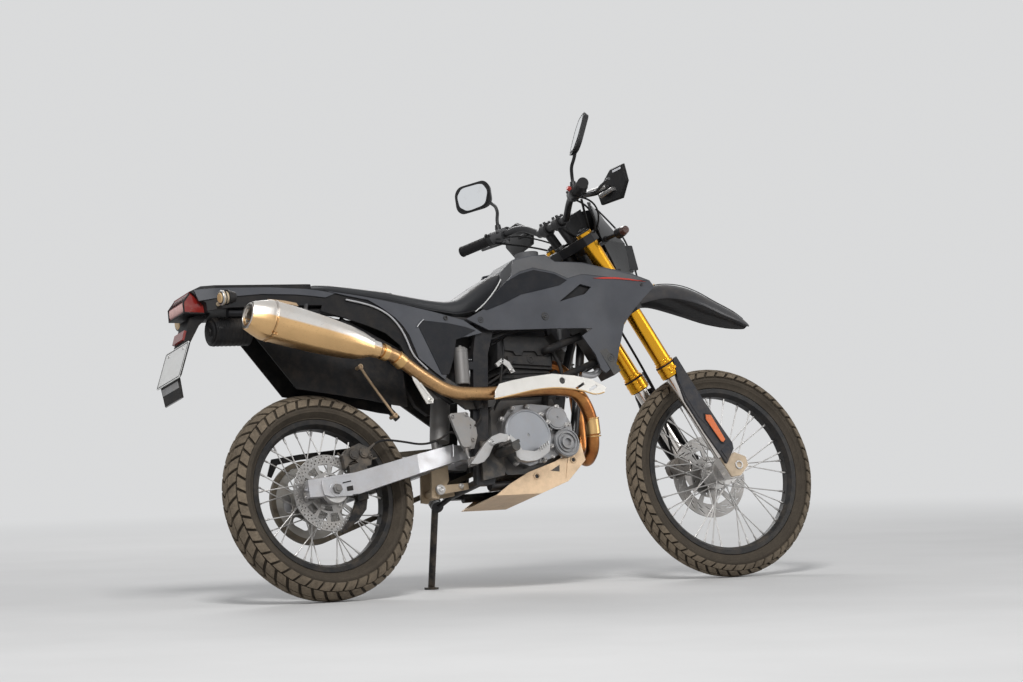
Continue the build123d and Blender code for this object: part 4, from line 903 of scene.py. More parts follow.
skin("shroud_panels", "grey_plastic",
     [(545, 850), (582, 866), (620, 884), (680, 936), (742, 992), (756, 1024), (768, 1050), (820, 1060),
      (880, 1062), (905, 1034), (955, 1030), (1000, 1026), (1110, 996), (1170, 976), (1220, 953),
      (1233, 931), (1190, 896), (1152, 861), (1110, 816), (1096, 776), (1081, 737), (1062, 686),
      (1018, 657), (1004, 668), (996, 694), (988, 720), (966, 752), (948, 780), (990, 804),
      (860, 808), (740, 810), (620, 812)],
     shroud_depth, -6, 0, bevel=1.2, holes=[[(884, 895), (981, 917), (1008, 940), (970, 951)]],
     replaces=("shrouds",))
skin("shroud_inserts", "dark_plastic",
     [(604, 884), (660, 930), (717, 972), (770, 996), (822, 1008), (888, 990), (926, 966), (896, 950),
      (826, 937), (755, 925), (690, 898), (622, 876)],
     shroud_depth, -2, 1.6, bevel=0.8)
skin("tank_cover_sides", "tank_plastic",
     [(752, 1026), (770, 1046), (836, 1058), (879, 1056), (905, 1032), (955, 1027), (1000, 1022),
      (1104, 992), (1165, 973), (1212, 953), (1150, 958), (1060, 975), (985, 985), (930, 972),
      (890, 996), (822, 1016), (772, 1004), (744, 990)],
     shroud_depth, -2, 1.4, bevel=0.8)
skin("shroud_stripes", "grey_plastic",
     [(1022, 970), (1062, 972), (1100, 970), (1150, 962), (1205, 949), (1150, 957), (1096, 964), (1060, 966)],
     shroud_depth, -1, 2.2, step=14, bevel=0.3, material=RED_STRIPE.mat)
TIP_EDGE = [(1236, 941), (1222, 926), (1190, 899), (1152, 864), (1124, 834), (1111, 814)]
tubes("shroud_tip_edges", "grey_plastic", pair(1.6, [(x, shroud_depth(x, z) - 2.5, z) for x, z in TIP_EDGE]),
      material=trim("tan_edge", (0.52, 0.36, 0.17), (0.42, 0.29, 0.14), 40.0, 0.4, 0.55).mat)
screws = Form()
for x, z, r in ((827, 849, 9), (596, 846, 7), (1045, 706, 10), (1190, 940, 4)):
    y = shroud_depth(x, z) - 1
    screws.rods((x, y, z), (x, y + 2.4, z), r * 1.5, r * 1.4, sides=28, hollow=r * 1.1)
    screws.side_bolts([(x, y, z)], r * 0.66, 2.6)
screws.make("shroud_screws", "peg_steel", bevel=0.3)
# A black sheet set behind the vent: painted shade seen through it.
skin("shroud_vent_shade", "black_plastic", [(874, 888), (985, 908), (1018, 942), (968, 960)], shroud_depth,
     -12, -10)
skin("side_panels", "grey_plastic",
     [(60, 952), (180, 931), (300, 906), (366, 890), (430, 876), (484, 862), (538, 848), (568, 828),
      (600, 806), (550, 796), (500, 788), (468, 722), (436, 655), (402, 682), (352, 726), (330, 800),
      (312, 832), (290, 858), (250, 890), (205, 918), (130, 934)],
     panel_depth, -5, 0, bevel=1.4, replaces=("side_covers",))
skin("side_panel_lowers", "black_plastic",
     [(60, 950), (128, 941), (198, 928), (252, 906), (292, 880), (318, 846), (336, 802), (352, 742),
      (392, 704), (356, 690), (318, 712), (296, 770), (250, 812), (190, 838), (110, 866), (40, 888)],
     side_depth, -10, -5.6, bevel=0.8)
# A pale grey tube along the side panel's edge: a painted highlight where the edge catches the light.
PAINTED_HIGHLIGHT_EDGE = [(128, 921), (190, 908), (240, 888), (274, 864), (298, 834), (316, 796), (330, 742), (350, 716),
               (378, 690)]
tubes("side_panel_highlight_edges", "grey_plastic", pair(2.8, [(x, side_depth(x, z) - 1.0, z) for x, z in PAINTED_HIGHLIGHT_EDGE]),
      material=surface("painted_highlight_edge", (0.42, 0.42, 0.43), 0.4, dust=0.1))
skin("side_panel_inserts", "dark_plastic",
     [(366, 832), (388, 848), (480, 838), (540, 826), (576, 814), (520, 790), (498, 784), (478, 722),
      (452, 672), (426, 672)],
     panel_depth, -2, 1.8, bevel=0.9)
y = between(SIDE_PLAN, 480) + 0.4
marks = Form().rods((472, y - 3, 855), (472, y + 1.2, 855), 8, 7.4, sides=24, hollow=5)
marks.side_bolts([(472, y - 3, 855)], 4.6, 2.2).make("side_panel_screws", "peg_steel")
tubes("side_panel_tabs", "swingarm_alloy",
      pair(1.5, [(361, 130.6, 826), (370, 130.8, 838), (388, 130.8, 850)]))

# the tail's long side strips, which carry the seat's edge back to the lamp
skin("tail_strips", "grey_plastic",
     [(-362, 974), (-250, 972), (-120, 968), (0, 958), (100, 944), (60, 930), (-40, 942), (-150, 948),
      (-260, 944), (-352, 938)],
     tail_depth, -1, 2.6, bevel=1.2)
tubes("grab_bars", "swingarm_alloy",
      pair(4.5, [(-156, 98, 920), (-150, 118, 921), (-110, 124, 916), (-56, 126, 904), (-46, 112, 901)]))

# columns: back from the axle, height of the crest and of the edge, half width
FENDER = [(247, 955, 905, 42), (220, 965, 911, 46), (190, 973, 917, 50), (165, 978, 920, 57),
          (140, 981, 922, 64), (100, 979.5, 916, 72), (57, 972, 905, 77), (0, 950, 887, 75),
          (-58, 918, 862, 66), (-100, 899, 850, 57), (-143, 878, 838, 46), (-172, 858, 832, 32),
          (-190, 844, 829, 22), (-196, 840, 829, 17)]
ARCH = [(-1.0, 0.0), (-0.97, 0.35), (-0.86, 0.68), (-0.62, 0.88), (-0.32, 0.985), (0.0, 1.0),
        (0.32, 0.985), (0.62, 0.88), (0.86, 0.68), (0.97, 0.35), (1.0, 0.0)]
FENDER_WALL = 4.0


def fender_row(back, crest, edge, half):
    """A section of the front fender: the outside of its arch, then back along the inside."""
    outer = [(half * u, edge + (crest - edge) * v) for u, v in ARCH]
    inner = [((half - FENDER_WALL) * u, edge - 0.3 + (crest - FENDER_WALL - edge) * v)
             for u, v in reversed(ARCH)]
    return [(WHEELBASE - back, y, z) for y, z in outer + inner]


Form(steered).rows([fender_row(*row) for row in FENDER]).make(
    "front_fender_shell", "fender_plastic", replaces=("front_fender",), subdivide=1)
tubes("front_fender_ridges", "fender_plastic",
      pair(1.6, [(WHEELBASE - back, half * 0.56, edge + (crest - edge) * 0.93 + 0.6)
                 for back, crest, edge, half in FENDER[1:-2]]), steered)

# the fender's mounting tongue runs from just under the lower fork clamp into its arch
TONGUE_TOP = LOWER_CLAMP_AT - 15.3
TONGUE_FOOT = TONGUE_TOP - 7
Form(fork).prism([(-10, TONGUE_FOOT), (-10, TONGUE_TOP), (66, TONGUE_TOP), (141, 1002), (150, 996), (70, 946),
                  (60, TONGUE_FOOT)], -40, 40).make("front_fender_tongue", "fender_plastic", bevel=1.2)


# ---- silencer and exhaust -------------------------------------------------------------
def can_frame(share):
    """The silencer's middle at a share of its length, with its own up and side directions."""
    along = (CAN_REAR - CAN_FRONT).normalized()
    upward = (Vector((0, 0, 1)) - along * along.z).normalized()
    return CAN_FRONT + (CAN_REAR - CAN_FRONT) * share, upward, along.cross(upward)


def can_ring(share, up, down, out, facet=0.62):
    """An eight-sided section with softened corners: how far it reaches up, down and sideways."""
    middle, upward, sideways = can_frame(share)
    right = [(facet * out, up), (out, facet * 0.72 * up), (out, -facet * 0.6 * down),
             (facet * 0.86 * out, -down)]
    corners = right + [(-a, b) for a, b in reversed(right)]
    return [middle + sideways * (a + (c - a) * s) + upward * (b + (d - b) * s)
            for (a, b), (c, d) in zip(corners, corners[1:] + corners[:1]) for s in (0.12, 0.5, 0.88)]


# columns: share of the length, reach up, down and out, and the facet where it changes
CAN_BODY = [(0.0, 25, 27, 27, 0.75), (0.02, 27, 30, 30), (0.10, 36, 42, 42), (0.22, 44, 49, 51),
            (0.40, 51, 54, 56), (0.60, 56, 56.5, 58), (0.79, 58, 57, 58.5), (0.825, 58, 57, 58.5)]
CAN_TAIL = [(0.828, 57.5, 56.5, 58), (0.835, 58.5, 57.5, 58.8), (0.86, 58, 57, 58),
            (0.93, 49, 48, 49.5, 0.66), (0.985, 40, 39, 40.5, 0.74), (0.995, 38, 37.5, 38.5, 0.78),
            (0.995, 24, 24, 24, 0.8), (0.93, 23, 23, 23, 0.8), (0.80, 22, 22, 22, 0.8)]
# columns: how far behind the mouth, radius
CAN_MOUTH = [(-6, 39.5), (0, 40.2), (0.8, 38), (0.5, 32), (-3, 31), (-60, 29), (-60, 24), (-6, 24)]
CAN_BAND = [(-0.006, -0.6), (-0.006, 0.5), (0.006, 0.5), (0.006, -0.6)]

can_form = Form().rows([can_ring(*row) for row in CAN_BODY])
can_form.make("silencer_body", "silencer_steel", CAN_STEEL, replaces=("silencer",), bevel=1.0, sharp=60)
can_tail = Form().rows([can_ring(*row) for row in CAN_TAIL])
can_tail.make("silencer_tail_cone", "silencer_steel", CAN_STEEL, bevel=0.8, sharp=60)
mouth_at, mouth_up, mouth_side = can_frame(0.998)
mouth_run = (CAN_REAR - CAN_FRONT).normalized()
mouth_ways = [mouth_up * math.cos(t) + mouth_side * math.sin(t) for t in turns_of(40)]
mouth = Form().rows([[mouth_at + mouth_run * s + way * r for way in mouth_ways] for s, r in CAN_MOUTH],
                    loop=True)
mouth.make("silencer_end_ring", "silencer_steel", bevel=0.6)
# A black disc down inside the mouth: painted shade deep in the pipe.
dark_mouth = Form().rod(mouth_at - mouth_run * 58, mouth_at - mouth_run * 50, 30, sides=32)
dark_mouth.make("silencer_mouth_shade", "black_plastic")
band = Form().rows([can_ring(0.812 + s, 59.4 + w, 58.6 + w, 59.6 + w) for s, w in CAN_BAND], loop=True)
for share in (0.80, 0.82):
    p, u, s = can_frame(share)
    band.bolt(p - s * 40 - u * 50, -u - s * 0.4, 3.4, 4)
band.make("silencer_band", "silencer_steel", CAN_STEEL, bevel=0.4)
neck = Form().rod(can_frame(-0.06)[0], can_frame(0.012)[0], 26, 28, sides=40, hollow=21.4)
neck.make("silencer_neck", "silencer_steel", CAN_STEEL, bevel=0.6)
p, u, s = can_frame(0.55)
hanger = Form().rod(p + u * 50, p + u * 92 + Vector((20, 40, 0)), 7)
hanger.prism([(-70, 842), (-20, 830), (-24, 870), (-60, 880)], -158, -150)
hanger.make("silencer_hanger", "frame_black", bevel=1.0)
pipe_bits = Form()
for a, b, r in (((949.5, -125, 462), (948.2, -130, 512), 22.3),
                ((949.8, -123, 456), (949.6, -124, 460), 23.4),
                ((948.2, -130, 513), (947.8, -131, 517), 23.4),
                ((262, -176, 700), (240, -181, 717), 25), ((205, -185.5, 729.5), (186, -189.5, 736), 26)):
    pipe_bits.rod(a, b, r, sides=36)
pipe_bits.make("header_bands", "header_steel", bevel=1.0,
               material=surface("header_band", (0.66, 0.42, 0.18), 0.3, 1.0, spread=0.1, dust=0.1))

# ---- heat shield ----------------------------------------------------------------------
cut_sheet("heat_shield_cover", "shield_alloy",
          [[(568, 574), (574, 600), (592, 622), (640, 632), (700, 641), (791, 650), (870, 642), (930, 630),
            (968, 610), (986, 600), (974, 586), (946, 577), (905, 592), (860, 601), (800, 607), (740, 604),
            (700, 599), (620, 584)],
           ring_points(825, 627, 11, 24),
           [(868, 603), (902, 620), (908, 612), (876, 597)],
           [(916, 597), (948, 612), (954, 604), (924, 590)]],
          -186, -183, replaces=("heat_shield",), edge=0.8)
shield_bits = Form().rod((825, -171.2, 622), (825, -183.4, 627), 10.4, sides=28)
shield_bits.bolt((825, -183.6, 627), RIGHT, 7, 1.8)
for x, inner_y, z, r in ((625, -171.3, 603, 6), (800, -171.3, 612, 6), (571, -178, 585, 3),
                         (905, -178, 595, 3)):
    shield_bits.rod((x, inner_y, z), (x, -184, z), r)
shield_bits.make("heat_shield_mounts", "peg_steel", bevel=0.4)
LIP = [(568, 575), (620, 583), (700, 598), (740, 603), (800, 606), (860, 600), (905, 591), (946, 576),
       (975, 586)]
tubes("heat_shield_lip", "shield_alloy", [(2.6, [(x, -184, z) for x, z in LIP])], material=GOLD_LIP)

# ---- swingarm end ---------------------------------------------------------------------
arm_bits = Form().plates([(-50, 340), (-46, 352), (52, 366), (60, 358), (60, 312), (50, 302), (-22, 300),
                          (-46, 308)], 116.2, 5)
arm_bits.rods((0, 121.2, 324), (0, 122.8, 324), 24, sides=36)
arm_bits.rods((-80, 104, 330), (-102, 104, 330), 5, sides=6)
arm_bits.rods((-93, 104, 330), (-97, 104, 330), 8.5, sides=6)
arm_bits.make("axle_blocks", "swingarm_alloy", bevel=1.0)
# Thin black plates on the axle blocks stand for their slots: painted shade in the recesses.
arm_dark = Form().plates([(34, 330), (56, 333), (56, 318), (34, 316)], 121.3, 0.5)
arm_dark.plates([(22, 344), (52, 349), (52, 345), (22, 340)], 121.3, 0.5)
arm_dark.make("axle_block_slot_shade", "black_plastic")
axle_nut = Form().rods((0, 122.6, 324), (0, 131, 324), 17, 15.5, sides=6)
axle_nut.rods((0, 131, 324), (0, 134, 324), 9, 8, sides=24)
axle_nut.make("axle_nuts", "swingarm_alloy", MATERIALS["shock_steel"], bevel=0.6)
tubes("swingarm_welds", "swingarm_alloy", pair(1.8, [(446, 95.5, 455), (444, 96, 436), (440, 96.5, 414)]))

# ---- engine and pegs ------------------------------------------------------------------
CLUTCH_X, CLUTCH_Z = 695, 465
PUMP_X, PUMP_Z = 812, 518
CLUTCH_FACE = [(0.5, 82), (-1.5, 82), (-3.5, 80), (-3.5, 77), (-1.2, 75), (-1.0, 5), (0.5, 5)]
Form().lathe((CLUTCH_X, -142, CLUTCH_Z), CLUTCH_FACE).make(
    "clutch_cover_face", "cover_silver", bevel=0.5,
    material=surface("clutch_disc", (0.30, 0.31, 0.33), 0.38, 0.85, spread=0.06, grain=0.2, dust=0.15,
                     scratch=0.25))
case_bolts = Form()
for x, y, z in around(CLUTCH_X, -118, CLUTCH_Z, 97, [math.radians(12 + 32.7 * k) for k in range(11)]):
    if 600 < x < 800 and 372 < z < 572:
        case_bolts.rod((x, y, z), (x, -128, z), 9, 7.5, sides=18)
        case_bolts.bolt((x, -128, z), RIGHT, 5.5, 5)
for x, y, z in around(PUMP_X, -118, PUMP_Z, 36, turns_of(3, math.radians(80))):
    case_bolts.rod((x, y, z), (x, -141, z), 8, sides=18)
    case_bolts.bolt((x, -141, z), RIGHT, 5, 4)
RIGHT_BOLTS = [(850, 545), (866, 500), (868, 462), (850, 424), (790, 398), (740, 385), (660, 396), (634, 430),
               (632, 505), (660, 552)]
LEFT_BOLTS = [(700, 428), (735, 396), (790, 405), (838, 436), (846, 470), (834, 530), (780, 556), (700, 532)]
case_bolts.bolts([(x, -118.2, z) for x, z in RIGHT_BOLTS], RIGHT, 5, 5)
case_bolts.bolts([(x, 104.2, z) for x, z in LEFT_BOLTS], LEFT, 5, 5)
case_bolts.make("case_bolts", "hub_alloy", bevel=0.4)
rings = Form()
for wide, narrow, out in ((44, 40, 3), (33, 29, 5), (22, 12, 7)):
    rings.lathe((838, -136, 438), [(0.4, wide), (-out, wide - 1), (-out, narrow), (0.4, narrow)], 64)
rings.lathe((PUMP_X, -140, PUMP_Z), [(0.4, 34), (-2, 33), (-2.4, 28), (-2, 4), (0.4, 4)], 56)
rings.lathe((776, 126, 474),
            [(-0.4, 68), (2, 66), (2, 60), (0.6, 58), (0.6, 12), (2.5, 10), (2.5, 4), (-0.4, 4)], 80)
rings.make("cover_rings", "cover_silver", bevel=0.5)
HEAD_COVER = [(694, 792), (706, 800), (846, 796), (868, 768), (866, 752), (846, 746), (836, 734), (814, 736),
              (806, 750), (762, 752), (754, 738), (732, 738), (724, 752), (694, 756)]
CAM_COVER = [(700, 712), (858, 700), (862, 732), (700, 738)]
head_bits = Form().plates(HEAD_COVER, 78.2, 7)
head_bits.prism(CAM_COVER, -85.2, -78.2).prism(CAM_COVER, 78.2, 81.2)
head_bits.rods((784, 78.2, 724), (784, 87.2, 724), 15, 13, sides=28, hollow=6)
head_bits.make("head_covers", "engine_dark", bevel=2.0)
fins = Form()
for k in range(6):
    low, front = 606 + 15 * k, 652 + 2.2 * k
    fins.prism([(front, low), (front + 190, low), (front + 190, low + 5), (front, low + 5)], -73, 73)
fins.make("cylinder_ribs", "engine_dark", bevel=1.2)
tubes("engine_wiring", "black_rubber",
      [(4.5, [(600, -72, 640), (640, -88, 660), (690, -84, 690), (720, -82, 720)]),
       (3.5, [(620, -80, 560), (640, -96, 600), (655, -92, 650), (690, -90, 770)]),
       (6.0, [(868, -86, 745), (892, -92, 700), (880, -92, 640), (858, -90, 590)]),
       (4.0, [(852, 80, 745), (884, 92, 700), (872, 92, 620), (850, 84, 585)]),
       (5.0, [(590, 60, 790), (640, 86, 800), (720, 84, 812), (800, 70, 816)]),
       (3.0, [(640, -86, 800), (700, -92, 812), (780, -88, 818), (860, -80, 820)])])
bracket = Form().prism([(648, 712), (676, 730), (700, 716), (716, 684), (700, 678), (688, 700), (672, 712),
                        (656, 700)], -92, -84)
bracket.bolts([(672, -92, 716), (704, -92, 690)], RIGHT, 6, 4).make("valve_bracket", "hub_alloy", bevel=1.0)
tubes("water_outlet", "swingarm_alloy",
      [(11, [(958, -92, 668), (990, -94, 662), (1016, -96, 668), (1026, -98, 680)])])
pegs = Form()
for k in range(8):
    y = 136 + 10.5 * k
    for x in (573 + (y - 122) / 94 * 12, 603 + (y - 122) / 94 * 12):
        z = 412 + (y - 122) / 94 * 4
        pegs.plates([(x - 5, z + 12), (x - 3, z + 22), (x + 3, z + 22), (x + 5, z + 12)], y - 2, 4)
pegs.make("peg_teeth", "peg_steel", bevel=0.8)

# ---- handlebar ------------------------------------------------------------------------
BAR_X = WHEELBASE - 488.0
BAR_Z = 1188.0
BAR_END = Vector((BAR_X - 112, 410, 1218))
BAR_RUN = (BAR_END - Vector((BAR_X - 22, 168, BAR_Z + 44))).normalized()
PERCH = BAR_END - BAR_RUN * 162
SWITCH = PERCH + BAR_RUN * 36

grips = Form(steered)
for start in (BAR_END - BAR_RUN * (112 - 7.2 * k) for k in range(15)):
    grips.rods(start, start + BAR_RUN * 4.2, 17.6, sides=24)
grips.rods(BAR_END - BAR_RUN * 124, BAR_END - BAR_RUN * 116, 21.5, sides=28)
grips.rods(BAR_END + BAR_RUN, BAR_END + BAR_RUN * 7, 18.2, sides=28)
grips.make("grip_ribs", "black_rubber", bevel=0.8)
switches = Form(steered).rods(SWITCH - BAR_RUN * 14, SWITCH + BAR_RUN * 4, 23, 22, sides=20)
# columns: how far in from the switch, start and end beside that place, sides, radii
for back, start, end, sides, *radii in ((6, (14, 0, 6), (34, 0, 8), 16, 15, 12),
                                        (4, (-16, 0, 10), (-26, 0, 14), 14, 7, 6),
                                        (36, (0, 0, 24), (0, 0, 40), 18, 11, 9),
                                        (36, (22, -20, 14), (26, 26, 18), 20, 14, 13)):
    p = SWITCH - BAR_RUN * back
    switches.rods(p + Vector(start), p + Vector(end), *radii, sides=sides)
switches.make("switch_housings", "mirror_shell", bevel=1.5)
kill_at = mirrored(PERCH + BAR_RUN * 32, -1)
kill = Form(steered).rod(kill_at + Vector((-20, 0, 8)), kill_at + Vector((-30, 0, 13)), 8.5, 7, sides=20)
kill.make("kill_switch", "mirror_shell", RED_STRIPE.mat, bevel=0.8)
bar_bits = Form(steered).bolt((BAR_X + 40, 0, 1166), (0.45, 0, -0.2), 3, 3)
for side in BOTH:
    places = [mirrored(PERCH + BAR_RUN * s + Vector((-20, 0, 8)), side) for s in (-18, 18)]
    bar_bits.bolts(places, (-1, 0, 0.2), 4.5, 5)
    bar_bits.bolts([(BAR_X + 6, side * y, BAR_Z + 21) for y in (30, 54)], (0.1, 0, 1), 5, 6)
    bar_bits.bolts([(BAR_X - 12, side * y, BAR_Z + 18) for y in (30, 54)], (-0.3, 0, 1), 5, 6)
bar_bits.make("bar_bolts", "bar_alloy", bevel=0.4)
tubes("bar_cables", "black_rubber",
      [(3.2, [(930, -266, 1208), (980, -250, 1200), (1050, -190, 1170), (1085, -120, 1130),
              (1075, -60, 1090)]),
       (3.0, [(930, -270, 1214), (985, -262, 1216), (1065, -200, 1190), (1100, -110, 1140),
              (1085, -50, 1100)]),
       (3.2, [(930, 266, 1206), (985, 250, 1196), (1060, 180, 1160), (1085, 110, 1120), (1075, 50, 1090)]),
       (2.6, [(926, 250, 1214), (970, 210, 1216), (1010, 150, 1190), (1060, 90, 1150), (1082, 40, 1110)]),
       (4.2, [(1110, 40, 1200), (1126, 20, 1150), (1130, 0, 1110)]),
       (3.0, [(1000, -60, 1166), (1020, -64, 1150), (1060, -56, 1130)])], steered)


# ---- fork -----------------------------------------------------------------------------
def on_legs(form, table, sides):
    """Collars round both fork legs; each row is its start and end up the leg and its radii."""
    for low, high, *radii in table:
        form.rods((LEG_AHEAD, LEG_SIDE, low), (LEG_AHEAD, LEG_SIDE, high), *radii, sides=sides)
    return form


caps = on_legs(Form(fork), [(1262, 1267, 24, 22)], 32)
on_legs(caps, [(1267, 1274, 15, 14)], 6)
on_legs(caps, [(1274, 1277, 6, 5)], 16)
caps.rod((0, 0, 1252.5), (0, 0, 1262), 19, 18, sides=6).make("fork_caps", "bar_alloy", bevel=0.8)
wipers = on_legs(Form(fork), [(757, 762.7, 33.8), (718.6, 716, 29, 27)], 48)
wipers.make("fork_wipers", "black_rubber", bevel=0.8)
collars = on_legs(Form(fork), [(764, 770, 31), (776, 779, 29), (745, 750, 34), (726, 731, 34.2)], 48)
for ahead in (26, 42):
    collars.rods((ahead, 134, 741), (ahead, 139, 741), 6, sides=16)
collars.make("fork_collars", "gold_anodised", bevel=1.0)
clamp_bolts = Form(fork)
for side in BOTH:
    places = [(68, side * 108, clamp + s) for clamp in (LOWER_CLAMP_AT, UPPER_CLAMP_AT) for s in (-7, 7)]
    clamp_bolts.bolts(places, (1, 0, 0), 5, 6)
clamp_bolts.make("clamp_bolts", "bar_alloy", bevel=0.4)
guards = Form(fork).plates([(18, 640), (26, 700), (50, 748), (62, 752), (62, 610), (66, 520), (60, 500),
                            (30, 520), (19, 560)], 137.2, 1.6)
guards.plates([(26, 398), (24, 432), (62, 432), (66, 414)], 137.2, 2)
guards.make("fork_guard_ribs", "guard_plastic", bevel=1.2)
lenses = Form(fork).plates([(43, 556), (60, 545), (57.5, 453), (46, 449), (40, 455), (35, 543)], 141.2, 2)
lenses.make("fork_reflectors", "amber_lens", bevel=1.0,
            material=reflector("reflector_orange", (0.62, 0.13, 0.02), 0.6, 500, 0.15))
lens_bases = Form(fork).plates([(42, 562), (62, 549), (59, 450), (45, 445), (38, 452), (33, 545)], 137.3, 3.9)
lens_bases.make("reflector_bases", "mirror_shell", bevel=0.8)
lugs = Form(fork).plates([(16, 338), (50, 325), (94, 339), (103, 366), (75, 399), (16, 409)], 119.1, 4)
lugs.make("axle_lugs", "slider_chrome", bevel=2.0,
          material=surface("axle_lug", (0.50, 0.40, 0.29), 0.45, 0.7, spread=0.12, grain=0.4, dust=0.5))
axle_spot = Vector((WHEELBASE, 0, FRONT_AXLE_Z)) - steer_foot_local
ahead, along = axle_spot.dot(fork_ahead_local), axle_spot.dot(fork_up_local)
axle_rims = Form(fork).rods((ahead, 123.2, along), (ahead, 126.5, along), 15, 14, sides=36, hollow=9.5)
axle_rims.make("axle_rims", "hub_alloy", bevel=0.6)

# ---- mirrors and hand guards ----------------------------------------------------------
# columns: share of the half width and of the half height, and how round the corner is
MIRROR_CORNERS = [(-0.98, 0.42, 0.3), (-0.62, 0.98, 0.25), (0.70, 0.94, 0.3), (1.0, 0.2, 0.3),
                  (0.72, -0.86, 0.3), (-0.44, -1.0, 0.3), (-0.9, -0.5, 0.25)]
# columns: side, half width and half height, place beside the perch, long way, way it faces
MIRRORS = [(1, 69, 46, Vector((-4, 131, 171)), Vector((0.469, -0.883, 0)), Vector((-0.883, -0.469, 0))),
           (-1, 46, 69, Vector((16, -44, 186)), Vector((0.42, 0, 0.907)), Vector((-0.881, 0.25, 0.408)))]
# columns: size of the shell's outline, how far it stands before the mirror's face
MIRROR_SHELL = [(0.9, 0.6), (0.9, 2.2), (1.0, 2.4), (1.0, -3), (0.8, -13), (0.42, -19)]
MIRROR_GLASS = [(0.9, 0.8), (0.9, 1.7)]


def mirror_outline(wide, tall, scale):
    """A mirror's outline with its corners drawn round."""
    spots = [Vector((wide * scale * u, tall * scale * v)) for u, v, _ in MIRROR_CORNERS]
    rounded = []
    for k, (_, _, share) in enumerate(MIRROR_CORNERS):
        a, b, c = spots[k - 1], spots[k], spots[(k + 1) % len(spots)]
        p, q = b + (a - b) * share, b + (c - b) * share
        rounded += [p * (1 - t) ** 2 + b * 2 * t * (1 - t) + q * t * t for t in (s / 6 for s in range(7))]
    return rounded


shells, glasses = Form(steered), Form(steered)
for side, wide, tall, beside, long_way, facing in MIRRORS:
    foot = mirrored(PERCH, side) + beside
    n, u = facing.normalized(), long_way.normalized()
    v = n.cross(u).normalized()
    if v.z < 0:
        v = -v
    if side < 0:
        u, v = v * -1, u
    for form, table in ((shells, MIRROR_SHELL), (glasses, MIRROR_GLASS)):
        form.rows([[foot + u * a + v * b + n * depth for a, b in mirror_outline(wide, tall, scale)]
                   for scale, depth in table])
shells.make("mirror_shells", "mirror_shell", bevel=0.8, sharp=50)
glasses.make("mirror_glasses", "mirror_shell", mirror_glass())

# each row: how far ahead of the guard's back, and its outline as (left, up) points
GUARD_ROWS = [(0, [(226, 1238), (321, 1285), (396, 1281), (407, 1226), (364, 1185), (240, 1196)]),
              (3, [(222, 1240), (321, 1289), (400, 1285), (411, 1226), (366, 1181), (237, 1193)]),
              (13, [(230, 1238), (322, 1284), (394, 1280), (405, 1226), (362, 1186), (242, 1197)])]
GUARD_WINDOW = [(340, 1279), (391, 1277), (389, 1270), (338, 1272)]
hands, windows = Form(steered), Form(steered)
for side in BOTH:
    hands.rows([[(1050 + d, side * y, z) for y, z in outline] for d, outline in GUARD_ROWS])
    windows.prism([(side * y, z) for y, z in GUARD_WINDOW], 1048.6, 1050.2, across)
hands.make("hand_guard_shells", "guard_black", bevel=1.5)
windows.make("hand_guard_windows", "guard_black", surface("guard_window", (0.75, 0.76, 0.78), 0.5, dust=0.05))
p = mirrored(PERCH, -1)
struts = Form(steered).rod(p + Vector((58, 40, 6)), p + Vector((96, -38, 12)), 8.5, 7.5, sides=20)
struts.rod((1038, -264, 1216), (1046, -330, 1222), 8, 7, sides=20)
struts.make("guard_strut_ends", "hub_alloy", bevel=1.0)

# ---- cowl, lamp, meter ----------------------------------------------------------------
tubes("cowl_edges", "cowl_black",
      pair(3.0, [(1172, 2, 1247), (1226, 16, 1180), (1268, 20, 1112), (1284, 14, 996)])
      + pair(2.6, [(1100, 88, 1244), (1112, 112, 1112), (1168, 92, 994)]), steered)
bezel = Form(steered).rod((1236, 0, 1066), (1246, 0, 1066), 30, 33, sides=40, hollow=26)
for k in range(6):
    z, front = 1040 + 11 * k, 1264.5 - 1.32 * k
    bezel.prism([(-34, z), (34, z), (34, z + 2), (-34, z + 2)], front - 2.5, front, across)
bezel.make("headlight_bezel", "bar_alloy", bevel=0.6)
surround = Form(steered).plates([(1206, 1028), (1206, 1106), (1263.5, 1106), (1273.5, 1028)], 41.4, 3)
surround.prism([(1206, 1104.6), (1262.5, 1104.6), (1262.0, 1108), (1206, 1108)], -44, 44)
surround.prism([(1206, 1026), (1273.5, 1026), (1273, 1029.4), (1206, 1029.4)], -44, 44)
surround.make("headlight_surround", "cowl_black", bevel=0.8)
meter = Form(fork).prism([(84, 1262), (101, 1261), (112, 1327), (95, 1328)], -50, 50)
meter.prism([(86, 1266), (92, 1265), (90, 1322), (88, 1322)], -44, 44)
meter.make("meter_case", "meter_black", bevel=3.0, segments=3)
meter_face = Form(fork).prism([(82.6, 1268), (84.6, 1268), (93.8, 1322), (91.8, 1322)], -43, 43)
meter_face.make("meter_glass", "meter_black", clear_surface("meter_face", (0.05, 0.06, 0.065), 0.08),
                bevel=0.6)


# ---- tail: lamps, plate, canister -----------------------------------------------------
def rounded_box(half_u, half_v, radius, steps=6):
    """A rectangle about the middle, with round corners."""
    ring = []
    for su, sv, start in ((1, 1, 0), (-1, 1, 90), (-1, -1, 180), (1, -1, 270)):
        ring += [polar(su * (half_u - radius), sv * (half_v - radius), radius,
                       math.radians(start + 90 * k / steps))
                 for k in range(steps + 1)]
    return ring


